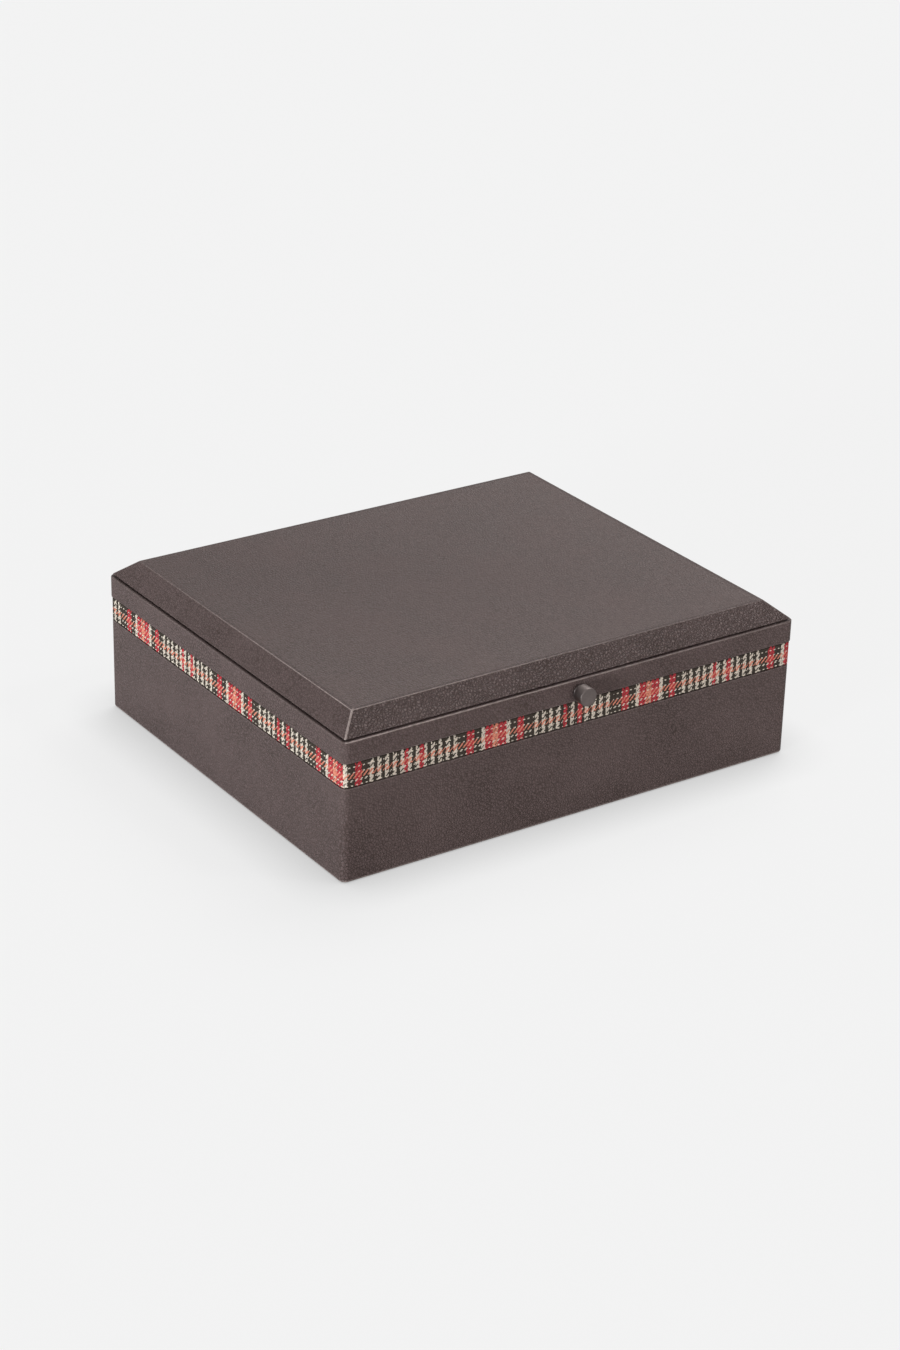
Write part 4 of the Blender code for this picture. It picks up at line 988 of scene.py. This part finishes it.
class HUMIDOR_OT_hygrometer(bpy.types.Operator):
    """Print the hygrometer's dial and finish its case, glass and hand"""
    bl_idname = "humidor.hygrometer"
    bl_label = "Hygrometer"

    def execute(self, context):
        metal = context.scene.humidor_metal
        brass = metal_finish("turned_brass", metal.brass, roughness=0.22, tarnish=0.15)
        smooth = 0.005 * MM
        ink = speckled_finish("dial_ink", (0.020, 0.019, 0.018), (0.035, 0.033, 0.030),
                              scale=4000.0, roughness=0.6, depth=smooth)
        green = speckled_finish("zone_ink", (0.050, 0.160, 0.080), (0.070, 0.200, 0.100),
                                scale=4000.0, roughness=0.6, depth=smooth)
        paint = speckled_finish("dial_enamel", (0.780, 0.750, 0.680), (0.840, 0.820, 0.760),
                                scale=900.0, roughness=0.45, depth=smooth)
        dress(brass, "hygrometer_cup", "hygrometer_bezel")
        dress(paint, "hygrometer_dial")
        dress(glass_finish(), "hygrometer_lens")
        dress(bpy.data.materials["plated_steel"], "hygrometer_coil")
        dress(ink, "hygrometer_needle")
        centre = (DIAL_LOW + DIAL_HIGH) / 2
        face = Matrix.Translation((centre.x, centre.y, DIAL_LOW.z))
        face @= Matrix.Rotation(math.pi, 4, "X")
        add_piece("hygrometer_marks", self.marks(face), ink, "lid")
        add_piece("hygrometer_zone", self.zone(face), green, "lid")
        return {"FINISHED"}

    def marks(self, face):
        """The ticks, figures and percent sign."""
        marks = bmesh.new()
        for value in range(0, 101, 2):
            turn = Matrix.Rotation(-math.radians(SCALE_START + SCALE_PER_PERCENT * value), 4, "Z")
            width, length = SHORT_TICK if value % 10 else LONG_TICK
            tick = bmesh.new()
            bmesh.ops.create_cube(tick, size=1.0)
            bmesh.ops.scale(tick, vec=(width, length, INK), verts=tick.verts)
            bmesh.ops.translate(tick, vec=(0.0, TICK_TOP - length / 2, 0.0), verts=tick.verts)
            join(marks, tick, face @ turn)
            if value % 10 == 0:
                spot = Matrix.Translation(turn @ Vector((0.0, FIGURE_RADIUS, 0.0)))
                join(marks, printed_text(str(value), FIGURE_SIZE), face @ spot)
        spot = Matrix.Translation((0.0, -PERCENT_DROP, 0.0))
        join(marks, printed_text("%", PERCENT_SIZE), face @ spot)
        return marks

    def zone(self, face):
        """The coloured arc at the humidity to keep."""
        zone = bmesh.new()
        half = 0.4 * INK
        corners = [zone.verts.new((radius, 0.0, level)) for radius, level in (
            (ZONE_INNER, -half), (ZONE_OUTER, -half), (ZONE_OUTER, half), (ZONE_INNER, half))]
        loop = zone.faces.new(corners)
        low, high = ZONE_PERCENT
        start = math.radians(90.0 - (SCALE_START + SCALE_PER_PERCENT * high))
        bmesh.ops.rotate(zone, matrix=Matrix.Rotation(start, 3, "Z"), verts=zone.verts)
        bmesh.ops.spin(zone, geom=[loop], axis=(0.0, 0.0, 1.0), cent=(0.0, 0.0, 0.0),
                       angle=math.radians(SCALE_PER_PERCENT * (high - low)), steps=ZONE_STEPS,
                       use_merge=False)
        bmesh.ops.transform(zone, matrix=face, verts=zone.verts)
        return zone


def soft_block(low, high, cells, roughness, seed):
    """A closed block whose faces are divided and roughened like felt or foam."""
    shape = bmesh.new()
    bmesh.ops.create_cube(shape, size=1.0)
    size = high - low
    bmesh.ops.scale(shape, vec=size, verts=shape.verts)
    bmesh.ops.translate(shape, vec=(low + high) / 2, verts=shape.verts)
    soften(shape, min(size) / 4)
    for axis in range(3):
        count = round(size[axis] / cells)
        for number in range(1, count):
            point = low.copy()
            point[axis] = low[axis] + size[axis] * number / count
            way = Vector((0.0, 0.0, 0.0))
            way[axis] = 1.0
            everything = [*shape.verts, *shape.edges, *shape.faces]
            bmesh.ops.bisect_plane(shape, geom=everything, plane_co=point, plane_no=way,
                                   dist=WELD / 10)
    shape.normal_update()
    for vertex in shape.verts:
        dip = 0.5 + 0.5 * noise.noise(vertex.co / (cells * 1.7) + Vector((seed, 0.0, 0.0)))
        vertex.co -= vertex.normal * roughness * dip
    return shape


class HUMIDOR_OT_soft_parts(bpy.types.Operator):
    """Cut the felt under the case and the foam in the humidifier"""
    bl_idname = "humidor.soft_parts"
    bl_label = "Felt and foam"

    def execute(self, context):
        felt = speckled_finish("base_felt_cloth", (0.016, 0.014, 0.013), (0.045, 0.040, 0.037),
                               scale=2600.0, roughness=0.95, depth=0.10 * MM, shine=0.1)
        foam = speckled_finish("humidifier_sponge", (0.050, 0.080, 0.050), (0.150, 0.190, 0.130),
                               scale=1400.0, roughness=0.95, depth=0.30 * MM, shine=0.1)
        plastic = speckled_finish("moulded_plastic", (0.014, 0.014, 0.014), (0.026, 0.026, 0.026),
                                  scale=3200.0, roughness=0.45, depth=0.010 * MM)
        shape = soft_block(FELT_LOW, FELT_HIGH, cells=4.0 * MM, roughness=0.10 * MM, seed=3.0)
        add_piece("base_felt_sheet", shape, felt, "case", ["base_felt"])
        shape = soft_block(FOAM_LOW, FOAM_HIGH, cells=1.2 * MM, roughness=0.35 * MM, seed=8.0)
        add_piece("humidifier_sponge", shape, foam, "humidifier", ["humidifier_foam"])
        dress(plastic, "humidifier_tray", "humidifier_grille")
        return {"FINISHED"}


def grey(level):
    """A neutral colour."""
    return (level, level, level, 1.0)


class HUMIDOR_OT_stage(bpy.types.Operator):
    """Lay the floor, hang the lights and set up the camera"""
    bl_idname = "humidor.stage"
    bl_label = "Floor, lights and camera"

    def execute(self, context):
        stage = context.scene.humidor_stage
        self.lay_floor(stage)
        self.light_world(stage)
        for name, direction, softness, tint in LAMPS:
            lamp = bpy.data.lights.new(name, "SUN")
            lamp.energy = getattr(stage, name)
            lamp.color = tint
            lamp.angle = math.radians(softness)
            turn = Vector(direction).to_track_quat("-Z", "Y").to_euler()
            bring_in(name, lamp).rotation_euler = turn
        camera = bpy.data.cameras.new("photo_camera")
        camera.sensor_fit = "VERTICAL"
        camera.sensor_height = CAMERA_FILM
        camera.lens = CAMERA_LENS
        camera.clip_end = CAMERA_REACH
        holder = bring_in("photo_camera", camera)
        holder.location = CAMERA_PLACE
        holder.rotation_euler = [math.radians(turn) for turn in CAMERA_TURN]
        context.scene.camera = holder
        context.scene.view_settings.view_transform = "Standard"
        return {"FINISHED"}

    def lay_floor(self, stage):
        """A wide pale floor that keeps a soft shadow."""
        shape = bmesh.new()
        bmesh.ops.create_grid(shape, x_segments=1, y_segments=1, size=stage.floor_size)
        mesh = settle("floor", shape)
        recipe = Recipe("pale_floor", {"Base Color": grey(FLOOR_TONE), "Roughness": 0.9,
                                       "Specular IOR Level": 0.1})
        contact = recipe.add("ShaderNodeAmbientOcclusion", {"Distance": CONTACT_REACH})
        shade = recipe.spread(contact.outputs["AO"], 0.0, 1.0, stage.background * CONTACT_SHADE,
                              stage.background)
        glow = recipe.add("ShaderNodeEmission", {"Color": shade}).outputs[0]
        share = recipe.math("MULTIPLY", recipe.seen(), FLOOR_GLOW)
        blend = recipe.add("ShaderNodeMixShader", {0: share, 1: recipe.shader.outputs[0], 2: glow})
        recipe.feed(recipe.nodes["Material Output"].inputs["Surface"], blend.outputs[0])
        mesh.materials.append(recipe.owner)
        bring_in("floor", mesh)

    def light_world(self, stage):
        """An even white room, and the plain backdrop that the camera sees."""
        recipe = Recipe("pale_room", {}, "worlds", "Background")
        shade = recipe.mix(recipe.seen(), grey(stage.sky_light), grey(stage.background))
        recipe.feed(recipe.shader.inputs["Color"], shade)
        bpy.context.scene.world = recipe.owner


PIECE_OPERATORS = (
    HUMIDOR_OT_case_leather, HUMIDOR_OT_lid_leather, HUMIDOR_OT_tweed_band, HUMIDOR_OT_pull_knob,
    HUMIDOR_OT_woodwork, HUMIDOR_OT_hardware, HUMIDOR_OT_hygrometer, HUMIDOR_OT_soft_parts,
    HUMIDOR_OT_stage,
)
SETTINGS = {
    "humidor_leather": HumidorLeather, "humidor_tweed": HumidorTweed,
    "humidor_timber": HumidorTimber, "humidor_metal": HumidorMetal, "humidor_stage": HumidorStage,
}


class HUMIDOR_PT_panel(bpy.types.Panel):
    """The humidor's pieces and their sizes and colours"""
    bl_idname = "HUMIDOR_PT_panel"
    bl_label = "Cigar humidor"
    bl_space_type = "VIEW_3D"
    bl_region_type = "UI"
    bl_category = "Humidor"

    def draw(self, context):
        for setting in SETTINGS:
            column = self.layout.box().column()
            group = getattr(context.scene, setting)
            for name in group.__annotations__:
                column.prop(group, name)
        for operator in PIECE_OPERATORS:
            self.layout.operator(operator.bl_idname)


CLASSES = (*SETTINGS.values(), *PIECE_OPERATORS, HUMIDOR_PT_panel)


def register():
    """Add the settings, the operators and the panel to Blender."""
    for item in CLASSES:
        bpy.utils.register_class(item)
    for name, group in SETTINGS.items():
        setattr(bpy.types.Scene, name, PointerProperty(type=group))


def unregister():
    """Take them out again."""
    for name in SETTINGS:
        delattr(bpy.types.Scene, name)
    for item in reversed(CLASSES):
        bpy.utils.unregister_class(item)


def main():
    """Build every piece in order."""
    register()
    for operator in PIECE_OPERATORS:
        group, name = operator.bl_idname.split(".")
        getattr(getattr(bpy.ops, group), name)()


if __name__ == "__main__":
    main()
